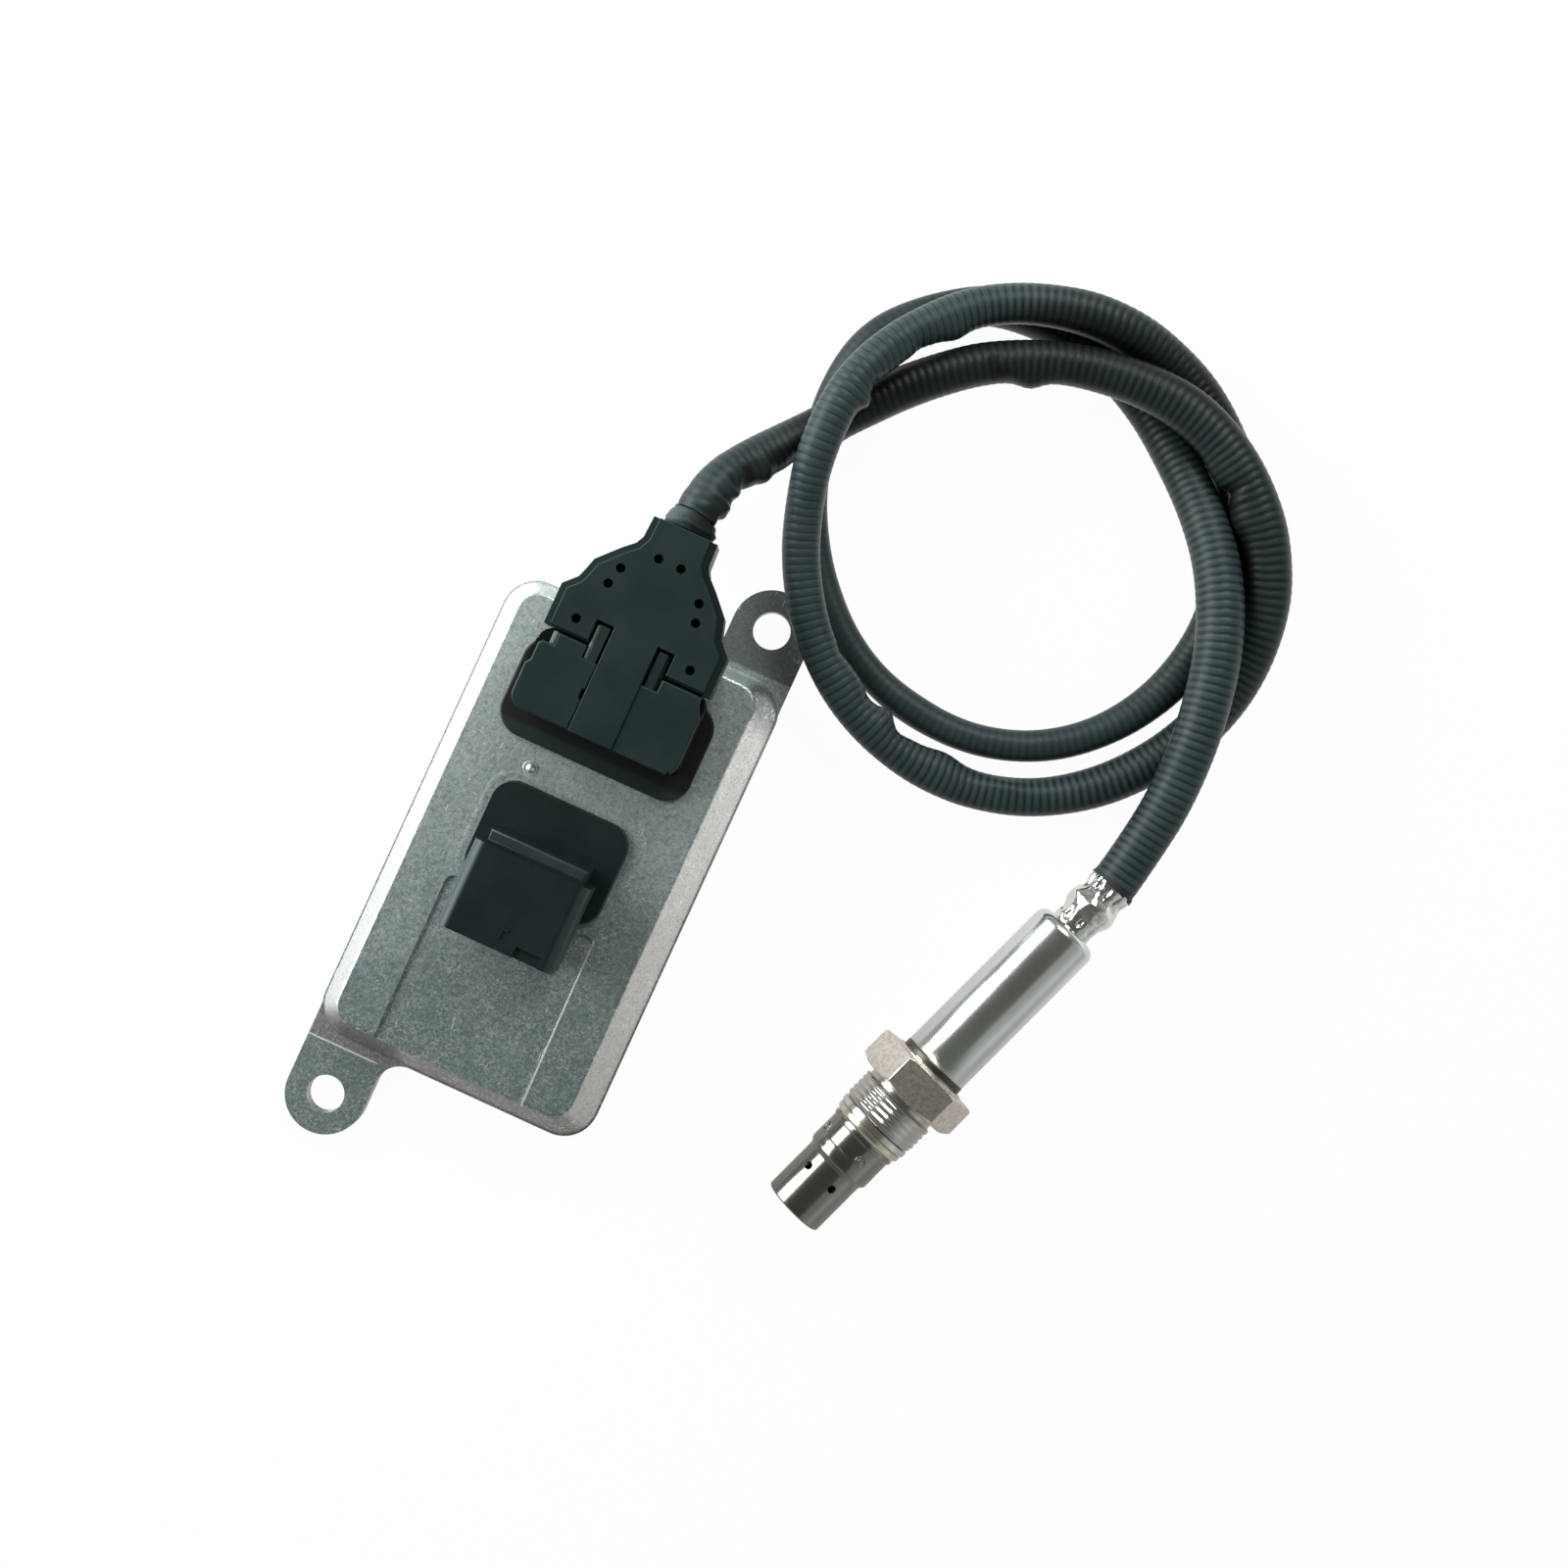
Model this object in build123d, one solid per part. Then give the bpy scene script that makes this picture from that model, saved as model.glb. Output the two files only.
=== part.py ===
from build123d import *
import math
import os

# Nitrogen oxide sensor: a cast control unit with two plug-in headers, a corrugated hose and a steel probe.
# Millimetres, +Z up. The origin is midway between the two lug holes, on the face that the unit is bolted down by.
# +Y runs along the unit towards the hose, and +X points from the unit to the hose's coil.

# Control unit casing
case_length = 118.6
case_width = 70.8
case_height = 18.0
case_mid_y = 1.0
case_corner = 8.5
case_rim = 3.0
case_wall = 2.5
side_slope = 5.6
foot_slope = 6.4
head_slope = 3.2
crown_corner = 5.0
crown_edge = 0.9

# Mounting lugs
lug_hole_x = 25.3
lug_reach = 12.7
lug_hole_dia = 9.0
lug_round = 9.7
lug_thick = 4.0
lug_root_fillet = 6.0

# Casing details
channel_width = 37.2
channel_top_y = -10.4
channel_depth = 0.7
channel_corner = 2.2
plate_thick = 1.6
plate_ledge = 1.2
fit_gap = 0.05
vent_x = -11.4
vent_y = 19.2
vent_dia = 3.6
vent_stem_dia = 2.4
vent_rise = 0.7

# Circuit board and what it carries
board_thick = 1.6
board_margin = 2.5
board_drop = 6.4
board_boss_dia = 6.0
board_screw_dia = 2.5
board_screw_head = 4.6
board_screw_head_high = 1.4
chip_size = 14.0
chip_high = 1.6
driver_size = 7.0
driver_high = 1.2
driver_count = 3
chip_gap = 3.0
can_dia = 8.0
can_high = 3.0
can_count = 3
board_fit = 1.0

# Header for the sensor plug
flange_thick = 1.6
sensor_flange_width = 47.4
sensor_flange_depth = 24.0
sensor_flange_y = 36.8
sensor_flange_corner = 6.2
sensor_spigot_width = 36.0
sensor_spigot_depth = 13.0
sensor_spigot_y = 38.4
gasket_width = 1.6
gasket_gap = 1.0
gasket_high = 1.0
tower_rise = 9.5
tower_wall = 1.8
sensor_pin_count = 8
pin_size = 1.2

# Header for the vehicle harness
vehicle_flange_width = 34.2
vehicle_flange_depth = 24.8
vehicle_flange_y = 3.2
vehicle_flange_corner = 5.5
vehicle_spigot_width = 24.0
vehicle_spigot_depth = 13.0
socket_width = 28.0
socket_length = 20.6
socket_back_y = 1.1
socket_high = 16.6
socket_wall = 1.9
socket_floor_gap = 0.7
socket_edge = 2.8
socket_back_wall = 3.0
back_block_width = 23.4
back_block_depth = 3.4
back_block_short = 2.4
blade_count = 4
blade_width = 2.8
blade_thick = 0.8
blade_pitch = 5.6
blade_reach = 11.0
key_slot_width = 6.0
key_slot_length = 2.6
key_slot_depth = 0.8
key_slot_x = 7.4
nib_y = -14.4
nib_length = 2.4
nib_width = 3.2
nib_thick = 0.7
nib_rise = 0.3

# Sensor plug
plug_width = 40.4
plug_front_y = 31.0
plug_back_y = 50.6
plug_top_z = 35.6
plug_floor_gap = 0.7
plug_skirt = 2.0
plug_gap = 0.4
plug_corner = 3.4
plug_edge = 1.0
plug_shelf_y = 47.0
plug_shelf_drop = 3.2
tongue_half = 5.3
plug_seam = 0.1
latch_rib_x = 7.4
latch_rib_width = 2.9
latch_rib_drop = 0.5
latch_rib_edge = 0.7
latch_rib_end_y = 55.4
post_x = 16.6
post_width = 1.1
post_drop = 1.2
seal_width = 1.2
seal_high = 3.0
seal_rise = 3.5
socket_sleeve_dia = 2.2

# Plug cover: the flat lid and the shell under it
lid_thick = 2.0
lid_rise = 0.4
lid_foot_y = 51.0
lid_notch_y = 56.0
lid_notch_out = 9.4
lid_neck_half = 6.1
lid_end_y = 82.2
lid_hole_dia = 2.1
shell_border = 1.6
shell_wall = 1.8
shell_high = 12.2
shell_edge = 2.4
neck_radius = 7.5
neck_start_y = 75.5
neck_z = 29.0

# Hose and its collar
hose_dia = 9.6
collar_dia = 13.2
collar_length = 4.3

# Probe: distances along its axis are measured from the tip
probe_tip_x = 86.0
probe_tip_y = -48.6
probe_turn = 69.7
hex_flats = 24.0
guard_radius = 7.6
guard_wall = 0.6
guard_step_at = 13.8
guard_step_end = 15.6
guard_top_radius = 8.4
guard_top_at = 22.9
guard_lip_radius = 8.8
guard_lip = 0.8
guard_tip_round = 0.8
guard_hole_dia = 2.0
guard_hole_at = 10.2
guard_hole_count = 6
guard_hole_turn = 18.0
guard_mouth_dia = 4.0
weld_at = 19.3
weld_dia = 2.8
weld_count = 4
weld_turn = 15.0
weld_depth = 0.15
inner_guard_radius = 5.6
inner_guard_wall = 0.5
inner_guard_start = 2.4
inner_guard_hole_at = 16.0
ring_radius = 9.4
ring_thick = 2.2
flange_radius = 9.7
flange_at = 26.2
flange_end = 27.6
body_bore = 4.2
body_neck_radius = 7.6
thread_radius = 10.0
thread_end = 35.0
thread_chamfer = 0.8
undercut_radius = 9.1
hex_at = 36.6
hex_end = 45.0
hex_crown = 1.1
washer_face_radius = 9.5
washer_face = 0.6
sleeve_radius = 8.35
sleeve_wall = 0.6
sleeve_at = 47.3
sleeve_end = 92.0
sleeve_shoulder = 1.9
ferrule_radius = 5.35
ferrule_wall = 0.6
ferrule_bulge = 6.2
ferrule_bulge_at = 98.6
ferrule_bulge_half = 2.8
ferrule_lip_radius = 5.7
ferrule_end = 105.4
ferrule_inset = 4.0
crimp_count = 10
crimp_groove_dia = 1.1
crimp_groove_depth = 0.25
crimp_length = 2.4
crimp_first_at = 94.0
crimp_last_at = 102.8
element_width = 4.2
element_thick = 1.3
element_start = 8.0
element_end = 70.0
holder_start = 58.0
holder_end = 76.0
holder_slot = 1.8
bush_end = 52.0
grommet_start = 80.0
grommet_end = 88.0

# Values that follow from the ones above
lug_hole_y = case_length / 2 + lug_reach
flange_top_z = case_height + flange_thick
case_foot_y = case_mid_y - case_length / 2
case_head_y = case_mid_y + case_length / 2
crown_foot_y = case_foot_y + foot_slope
crown_head_y = case_head_y - head_slope
crown_length = crown_head_y - crown_foot_y
crown_mid_y = (crown_head_y + crown_foot_y) / 2
crown_width = case_width - 2 * side_slope
ceiling_z = case_height - case_wall
board_top_z = ceiling_z - board_drop
lid_half = plug_width / 2 - shell_border
lid_top_z = plug_top_z + lid_rise
lid_base_z = lid_top_z - lid_thick
plug_mid_y = (plug_front_y + plug_back_y) / 2
plug_depth = plug_back_y - plug_front_y
tower_width = plug_width - 2 * plug_skirt - 2 * plug_gap
tower_depth = plug_depth - 2 * plug_skirt - 2 * plug_gap
tower_top_z = flange_top_z + tower_rise
socket_floor_z = flange_top_z + socket_floor_gap
socket_top_z = socket_floor_z + socket_high
probe_axis_z = hex_flats / 2

# How the hose leaves the plug, as steps from the end of its collar
hose_lead = [
    (0.8, 8.5, -1.2),
    (5.5, 17.5, -7.2),
    (12.5, 27.0, -12.0),
    (21.5, 38.5, -13.2),
]

# The rest of the hose's route to the probe, through almost three loose turns
hose_points = [
    (33.0, 138.5, 15.8),
    (48.0, 150.5, 16.0),
    (67.0, 157.5, 16.2),
    (88.0, 158.5, 16.2),
    (105.5, 153.0, 16.2),
    (120.5, 140.5, 15.8),
    (129.5, 124.0, 12.2),
    (131.0, 103.0, 6.2),
    (122.5, 83.0, 5.2),
    (107.5, 66.5, 5.2),
    (88.5, 57.5, 5.4),
    (68.5, 56.5, 9.0),
    (50.5, 62.0, 12.6),
    (35.5, 73.0, 15.4),
    (25.5, 87.0, 17.6),
    (20.5, 100.5, 21.8),
    (18.0, 114.0, 26.8),
    (19.0, 130.0, 26.8),
    (26.0, 145.5, 22.2),
    (36.5, 158.0, 18.0),
    (50.5, 166.0, 16.6),
    (67.0, 170.0, 15.4),
    (84.5, 168.8, 8.8),
    (100.5, 161.0, 5.2),
    (112.5, 148.5, 5.2),
    (119.0, 131.0, 5.2),
    (119.5, 108.0, 5.2),
    (112.0, 89.0, 5.2),
    (98.0, 74.5, 5.2),
    (79.0, 67.5, 5.2),
    (58.5, 69.0, 5.2),
    (42.0, 76.5, 5.2),
    (29.0, 89.5, 5.2),
    (19.5, 106.0, 5.2),
    (15.5, 124.0, 5.2),
    (18.5, 143.0, 5.2),
    (28.5, 156.5, 5.2),
    (42.0, 165.0, 5.2),
    (60.0, 166.0, 5.2),
    (80.0, 160.0, 5.2),
    (98.5, 146.0, 8.2),
    (112.5, 130.0, 14.8),
    (121.0, 112.5, 17.0),
    (125.0, 93.5, 16.8),
    (126.0, 74.5, 14.8),
    (124.5, 60.5, 12.8),
]


def save(name, shape):
    # One STEP file per piece, named after it
    export_step(shape, "parts/" + name + ".step")


def plate(width, depth, corner, thick, x=0.0, y=0.0, z=0.0):
    # A flat block with rounded upright corners, its underside at z
    outline = Pos(x, y, z) * RectangleRounded(width, depth, corner)
    return extrude(outline, amount=thick)


def upright_edges(solid):
    return solid.edges().filter_by(Axis.Z)


def join(solids):
    # Separate like pieces kept as one group
    return Compound(children=list(solids))


# Casing
def lug_outline(sign):
    # One lug seen from above: a tongue that ends in a half round about its hole
    hole_x = sign * lug_hole_x
    hole_y = sign * lug_hole_y
    root_y = sign * (case_length / 2 - 2 * case_corner)
    tongue = Pos(hole_x, (hole_y + root_y) / 2) * Rectangle(2 * lug_round, abs(hole_y - root_y))
    return tongue + Pos(hole_x, hole_y) * Circle(lug_round)


def case_form(inset, low, high):
    # The casing's outer form, or its inside when inset by the wall
    rim_end = case_rim if inset == 0 else low
    foot = Pos(0, case_mid_y, low) * RectangleRounded(
        case_width - 2 * inset, case_length - 2 * inset, case_corner - inset / 2)
    crown = Pos(0, crown_mid_y, high) * RectangleRounded(
        crown_width - 2 * inset, crown_length - 2 * inset, crown_corner - inset / 2)
    if rim_end == low:
        return loft([foot.face(), crown.face()])
    shoulder = Pos(0, 0, rim_end - low) * foot
    rim = extrude(foot, amount=rim_end - low)
    return rim + loft([shoulder.face(), crown.face()])


def board_boss_places():
    reach_x = crown_width / 2 - 2 * case_wall - board_boss_dia / 2
    top_y = crown_head_y - 2 * case_wall - board_boss_dia / 2
    foot_y = crown_foot_y + 2 * case_wall + board_boss_dia / 2
    return [(side * reach_x, y) for side in (-1, 1) for y in (foot_y, top_y)]


def make_housing():
    lugs = lug_outline(1) + lug_outline(-1)
    floor = RectangleRounded(case_width, case_length, case_corner)
    sole = Pos(0, case_mid_y) * floor + lugs
    inner_side = lug_hole_x - lug_round
    roots = [v for v in sole.vertices()
             if abs(abs(v.X) - inner_side) < 0.01 and abs(v.Y) < case_length / 2 + abs(case_mid_y) + 0.01]
    sole = fillet(roots, lug_root_fillet)
    body = case_form(0, 0, case_height)
    crown_edges = body.faces().sort_by(Axis.Z)[-1].edges()
    body = fillet(crown_edges, crown_edge)
    body += extrude(sole, amount=lug_thick)
    body -= case_form(case_wall, plate_thick, ceiling_z)
    for x, y in board_boss_places():
        boss = Pos(x, y, board_top_z) * extrude(Circle(board_boss_dia / 2), amount=case_height - case_wall / 2 - board_top_z)
        body += boss
        body -= Pos(x, y, board_top_z) * extrude(Circle(board_screw_dia / 2 - fit_gap), amount=board_drop - 1)
    pocket_width = case_width - 2 * case_wall + 2 * plate_ledge
    pocket_length = case_length - 2 * case_wall + 2 * plate_ledge
    body -= plate(pocket_width, pocket_length, case_corner - case_wall / 2, plate_thick, y=case_mid_y)
    for sign in (-1, 1):
        body -= Pos(sign * lug_hole_x, sign * lug_hole_y) * extrude(Circle(lug_hole_dia / 2), amount=lug_thick)
    channel_length = channel_top_y - crown_foot_y + foot_slope
    channel = plate(channel_width, 2 * channel_length, channel_corner, 2 * channel_depth,
                    y=channel_top_y - channel_length, z=case_height - channel_depth)
    body -= channel
    body -= plate(sensor_spigot_width + 2 * fit_gap, sensor_spigot_depth + 2 * fit_gap, 2.0, 2 * case_wall,
                  y=sensor_spigot_y, z=ceiling_z - case_wall / 2)
    body -= plate(vehicle_spigot_width + 2 * fit_gap, vehicle_spigot_depth + 2 * fit_gap, 2.0, 2 * case_wall,
                  y=vehicle_flange_y, z=ceiling_z - case_wall / 2)
    body -= Pos(vent_x, vent_y, ceiling_z - 1) * extrude(Circle(vent_stem_dia / 2), amount=case_wall + 2)
    return body


def make_base_plate():
    width = case_width - 2 * case_wall + 2 * plate_ledge - 2 * fit_gap
    length = case_length - 2 * case_wall + 2 * plate_ledge - 2 * fit_gap
    return plate(width, length, case_corner - case_wall / 2, plate_thick, y=case_mid_y)


def make_vent_plug():
    stem = Pos(vent_x, vent_y, ceiling_z) * extrude(Circle(vent_stem_dia / 2 - fit_gap), amount=case_wall)
    head = Pos(vent_x, vent_y, case_height) * extrude(Circle(vent_dia / 2), amount=vent_rise)
    head = fillet(head.edges().sort_by(Axis.Z)[-1], vent_rise * 0.8)
    return stem + head


# Circuit board
def board_outline_size():
    width = crown_width - 2 * case_wall - 2 * board_margin + 4
    length = crown_length - 2 * case_wall - 2 * board_margin + 4
    return width, length


def make_circuit_board():
    width, length = board_outline_size()
    board = plate(width, length, 2.0, board_thick, y=crown_mid_y, z=board_top_z - board_thick)
    for x, y in board_boss_places():
        board -= Pos(x, y, board_top_z - board_thick) * extrude(
            Circle(board_screw_dia / 2 + 0.2), amount=board_thick)
    for x, y in sensor_pin_places():
        board -= Pos(x, y, board_top_z - board_thick) * extrude(Circle(pin_size / 2 + fit_gap), amount=board_thick)
    for x, y in blade_places():
        board -= Pos(x, y, board_top_z - board_thick / 2) * Box(
            blade_thick + 2 * fit_gap, blade_thick + 2 * fit_gap, board_thick)
    return board


def make_board_screws():
    screws = []
    for x, y in board_boss_places():
        low = board_top_z - board_thick
        head = Pos(x, y, low - board_screw_head_high) * extrude(
            Circle(board_screw_head / 2), amount=board_screw_head_high)
        shank = Pos(x, y, low) * extrude(
            Circle(board_screw_dia / 2 - 2 * fit_gap), amount=board_thick + board_drop - 2)
        screws.append(head + shank)
    return join(screws)


def driver_row_y():
    # The driver chips stand in a row at the board's lower end
    return crown_foot_y + case_wall + board_margin + driver_size / 2


def make_processor_chip():
    y = driver_row_y() + driver_size / 2 + chip_gap + chip_size / 2
    return plate(chip_size, chip_size, 0.6, chip_high, y=y, z=board_top_z)


def can_places():
    # A column of capacitors above the board's lower right screw
    x = crown_width / 2 - 2 * case_wall - can_dia / 2 - board_margin
    first_y = board_boss_places()[-2][1] + board_boss_dia / 2 + board_fit + can_dia / 2
    return [(x, first_y + step * 1.25 * can_dia) for step in range(can_count)]


def make_driver_chips():
    row_y = driver_row_y()
    chips = []
    for step in range(driver_count):
        x = (step - (driver_count - 1) / 2) * 1.5 * driver_size
        chips.append(plate(driver_size, driver_size, 0.4, driver_high, x=x, y=row_y, z=board_top_z))
    return join(chips)


def make_capacitors():
    cans = []
    for x, y in can_places():
        can = Pos(x, y, board_top_z) * extrude(Circle(can_dia / 2), amount=can_high)
        cans.append(chamfer(can.edges().sort_by(Axis.Z)[-1], 0.4))
    return join(cans)


# Sensor header
def sensor_pin_places():
    spread = tower_width - 2 * tower_wall - 6 * pin_size
    half = sensor_pin_count // 2
    return [((step / (half - 1) - 0.5) * spread, plug_mid_y + row * 1.6 * pin_size)
            for row in (-1, 1) for step in range(half)]


def gasket(spigot_width, spigot_depth, y):
    # A flat rubber ring in the groove under a header's flange, round its spigot
    width = spigot_width + 2 * gasket_gap
    depth = spigot_depth + 2 * gasket_gap
    outer = plate(width + 2 * gasket_width, depth + 2 * gasket_width, 3.0, gasket_high, y=y, z=case_height)
    inner = plate(width, depth, 2.0, gasket_high, y=y, z=case_height)
    return outer - inner


def make_sensor_gasket():
    return gasket(sensor_spigot_width, sensor_spigot_depth, sensor_spigot_y)


def make_sensor_header():
    flange = plate(sensor_flange_width, sensor_flange_depth, sensor_flange_corner, flange_thick,
                   y=sensor_flange_y, z=case_height)
    flange = fillet(flange.edges().group_by(Axis.Z)[-1], 0.5)
    spigot = plate(sensor_spigot_width, sensor_spigot_depth, 2.0, case_wall, y=sensor_spigot_y, z=ceiling_z)
    tower = plate(tower_width, tower_depth, plug_corner - plug_skirt, tower_rise, y=plug_mid_y, z=flange_top_z)
    tower -= plate(tower_width - 2 * tower_wall, tower_depth - 2 * tower_wall, 1.0, tower_rise,
                   y=plug_mid_y, z=flange_top_z)
    header = flange + spigot + tower
    header -= make_sensor_gasket()
    for x, y in sensor_pin_places():
        header -= Pos(x, y, ceiling_z) * extrude(
            Circle(pin_size / 2 + fit_gap), amount=case_wall + flange_thick)
    return header


def make_sensor_pins():
    low = board_top_z - board_thick - 0.6
    high = tower_top_z - 3
    return join(Pos(x, y, low) * extrude(Circle(pin_size / 2), amount=high - low)
                for x, y in sensor_pin_places())


# Vehicle header
def blade_places():
    return [((step - (blade_count - 1) / 2) * blade_pitch, vehicle_flange_y) for step in range(blade_count)]


def make_vehicle_gasket():
    return gasket(vehicle_spigot_width, vehicle_spigot_depth, vehicle_flange_y)


def make_vehicle_header():
    flange = plate(vehicle_flange_width, vehicle_flange_depth, vehicle_flange_corner, flange_thick,
                   y=vehicle_flange_y, z=case_height)
    flange = fillet(flange.edges().group_by(Axis.Z)[-1], 0.5)
    spigot = plate(vehicle_spigot_width, vehicle_spigot_depth, 2.0, case_wall, y=vehicle_flange_y, z=ceiling_z)
    mouth_y = socket_back_y - socket_length
    socket_mid_z = (socket_floor_z + socket_top_z) / 2
    mouth = Plane(origin=(0, socket_back_y, socket_mid_z), z_dir=(0, -1, 0), x_dir=(1, 0, 0))
    shroud = extrude(mouth * RectangleRounded(socket_width, socket_high, socket_edge), amount=socket_length)
    hollow_plane = Plane(origin=(0, socket_back_y - socket_back_wall, socket_mid_z), z_dir=(0, -1, 0),
                         x_dir=(1, 0, 0))
    hollow = extrude(hollow_plane * RectangleRounded(
        socket_width - 2 * socket_wall, socket_high - 2 * socket_wall, socket_edge - socket_wall / 2),
        amount=socket_length)
    foot_depth = socket_back_y - (vehicle_flange_y - vehicle_flange_depth / 2) - 2.0
    foot = plate(socket_width - 4 * socket_wall, foot_depth, 0.8, socket_floor_gap + 1.0,
                 y=socket_back_y - foot_depth / 2, z=flange_top_z)
    block_high = socket_top_z - back_block_short - flange_top_z
    block = Pos(0, socket_back_y + back_block_depth / 2, flange_top_z + block_high / 2) * Box(
        back_block_width, back_block_depth, block_high)
    block = fillet(block.edges().filter_by(Axis.X).sort_by(Axis.Z)[-2:].sort_by(Axis.Y)[-1:], 0.8)
    header = flange + spigot + shroud + foot + block - hollow
    header -= Pos(key_slot_x, mouth_y + key_slot_length / 2, socket_top_z - key_slot_depth / 2) * Box(
        key_slot_width, key_slot_length, key_slot_depth)
    header += Pos(0, nib_y, socket_top_z + nib_rise / 2 - 0.1) * Box(nib_width, nib_thick, nib_rise + 0.2)
    header += Pos(0, nib_y - nib_length / 2, socket_top_z + nib_rise / 2 - 0.1) * Box(
        nib_thick, nib_length, nib_rise + 0.2)
    header -= make_vehicle_gasket()
    for blade in blades(fit_gap):
        header -= blade
    return header


def blades(swell):
    # Right-angle blades: down through the flange to the board, and forward into the socket
    turn_z = (socket_floor_z + socket_top_z) / 2
    low = board_top_z - board_thick - 0.6
    front_y = socket_back_y - socket_back_wall - blade_reach
    out = []
    for x, y in blade_places():
        leg = Pos(x, y, (low + turn_z) / 2) * Box(
            blade_thick + 2 * swell, blade_thick + 2 * swell, turn_z - low + blade_thick + 2 * swell)
        arm = Pos(x, (y + blade_thick / 2 + front_y) / 2, turn_z) * Box(
            blade_width + 2 * swell, y + blade_thick / 2 - front_y + 2 * swell, blade_thick + 2 * swell)
        out.append(leg + arm)
    return out


# Sensor plug
def make_plug_body():
    floor_z = flange_top_z + plug_floor_gap
    body = plate(plug_width, plug_depth, plug_corner, plug_top_z - floor_z, y=plug_mid_y, z=floor_z)
    body = fillet(body.edges().group_by(Axis.Z)[-1], plug_edge)
    shelf_depth = plug_back_y - plug_shelf_y
    body -= Pos(0, plug_shelf_y + shelf_depth / 2, plug_top_z - plug_shelf_drop / 2) * Box(
        plug_width, shelf_depth, plug_shelf_drop)
    groove_depth = plug_top_z - lid_base_z
    body -= Pos(0, plug_mid_y, plug_top_z - groove_depth / 2) * Box(
        2 * tongue_half + 2 * plug_seam, plug_depth, groove_depth)
    body -= plate(plug_width - 2 * plug_skirt, plug_depth - 2 * plug_skirt, plug_corner - plug_skirt,
                  tower_top_z + plug_gap - floor_z, y=plug_mid_y, z=floor_z)
    core = plate(tower_width - 2 * tower_wall - 2 * plug_gap, tower_depth - 2 * tower_wall - 2 * plug_gap, 0.8,
                 tower_top_z + plug_gap - flange_top_z - 1.2, y=plug_mid_y, z=flange_top_z + 1.2)
    body += core
    body -= make_plug_seal()
    for side in (-1, 1):
        body += latch_rib(side)
        body += shelf_block(side * post_x, post_width, plug_shelf_y, plug_back_y - 0.6, post_drop)
    for x, y in sensor_pin_places():
        body -= Pos(x, y, flange_top_z + 1.2) * extrude(
            Circle(socket_sleeve_dia / 2 + fit_gap), amount=tower_rise)
    return body


def shelf_block(x, width, start_y, end_y, drop):
    # A block that stands on the plug's shelf, its top a little below the plug's
    shelf_z = plug_top_z - plug_shelf_drop
    high = plug_shelf_drop - drop
    return Pos(x, (start_y + end_y) / 2, shelf_z + high / 2) * Box(width, end_y - start_y, high)


def latch_rib(side):
    # The bar in the cover's notch, with its outer top edge bevelled
    rib = shelf_block(side * latch_rib_x, latch_rib_width, plug_shelf_y, latch_rib_end_y, latch_rib_drop)
    top_edges = rib.edges().filter_by(Axis.Y).group_by(Axis.Z)[-1]
    outer_edge = top_edges.sort_by(Axis.X)[-1 if side > 0 else 0]
    return chamfer(outer_edge, latch_rib_edge)


def make_plug_seal():
    # A rubber ring round the header's tower, in a groove in the plug's skirt
    outer = 2 * plug_gap + 2 * seal_width
    low = flange_top_z + seal_rise
    ring = plate(tower_width + outer - 2 * plug_gap, tower_depth + outer - 2 * plug_gap, plug_corner - 1.0,
                 seal_high, y=plug_mid_y, z=low)
    return ring - plate(tower_width, tower_depth, plug_corner - plug_skirt, seal_high, y=plug_mid_y, z=low)


def make_plug_sleeves():
    low = flange_top_z + 1.6
    high = tower_top_z - 1.0
    sleeves = []
    for x, y in sensor_pin_places():
        sleeve = Circle(socket_sleeve_dia / 2) - Circle(pin_size / 2 + fit_gap)
        sleeves.append(Pos(x, y, low) * extrude(sleeve, amount=high - low))
    return join(sleeves)


def lid_half_outline():
    # Right half of the lid, from its foot round to the end of its neck
    return [
        (lid_notch_out, lid_foot_y),
        (lid_half, lid_foot_y),
        (lid_half, lid_foot_y + 8.6),
        (lid_half - 2.6, lid_foot_y + 11.3),
        (lid_half - 3.4, lid_foot_y + 13.6),
        (lid_half - 4.2, lid_foot_y + 16.3),
        (lid_neck_half + 4.1, lid_end_y - 10.4),
        (lid_neck_half + 1.5, lid_end_y - 8.0),
        (lid_neck_half + 0.3, lid_end_y - 5.6),
        (lid_neck_half, lid_end_y),
    ]


def mirrored(points):
    return points + [(-x, y) for x, y in reversed(points)]


def lid_hole_places():
    right = [(2.7, lid_end_y - 8.4), (9.5, lid_end_y - 13.7), (10.6, lid_end_y - 17.9), (13.8, lid_foot_y + 3.3)]
    return right + [(-x, y) for x, y in right]


def make_plug_lid():
    outline = make_face(Polyline(*mirrored(lid_half_outline()), close=True))
    notch = Pos(0, (lid_foot_y + lid_notch_y) / 2) * Rectangle(2 * lid_notch_out, lid_notch_y - lid_foot_y)
    outline -= notch
    tongue = Pos(0, (plug_front_y + lid_notch_y) / 2) * Rectangle(2 * tongue_half, lid_notch_y - plug_front_y)
    outline += tongue
    lid = extrude(Pos(0, 0, lid_base_z) * outline, amount=lid_thick)
    lid = fillet(lid.faces().sort_by(Axis.Z)[-1].edges(), 0.3)
    for x, y in lid_hole_places():
        lid -= Pos(x, y, lid_base_z) * extrude(Circle(lid_hole_dia / 2), amount=lid_thick)
    return lid


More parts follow.
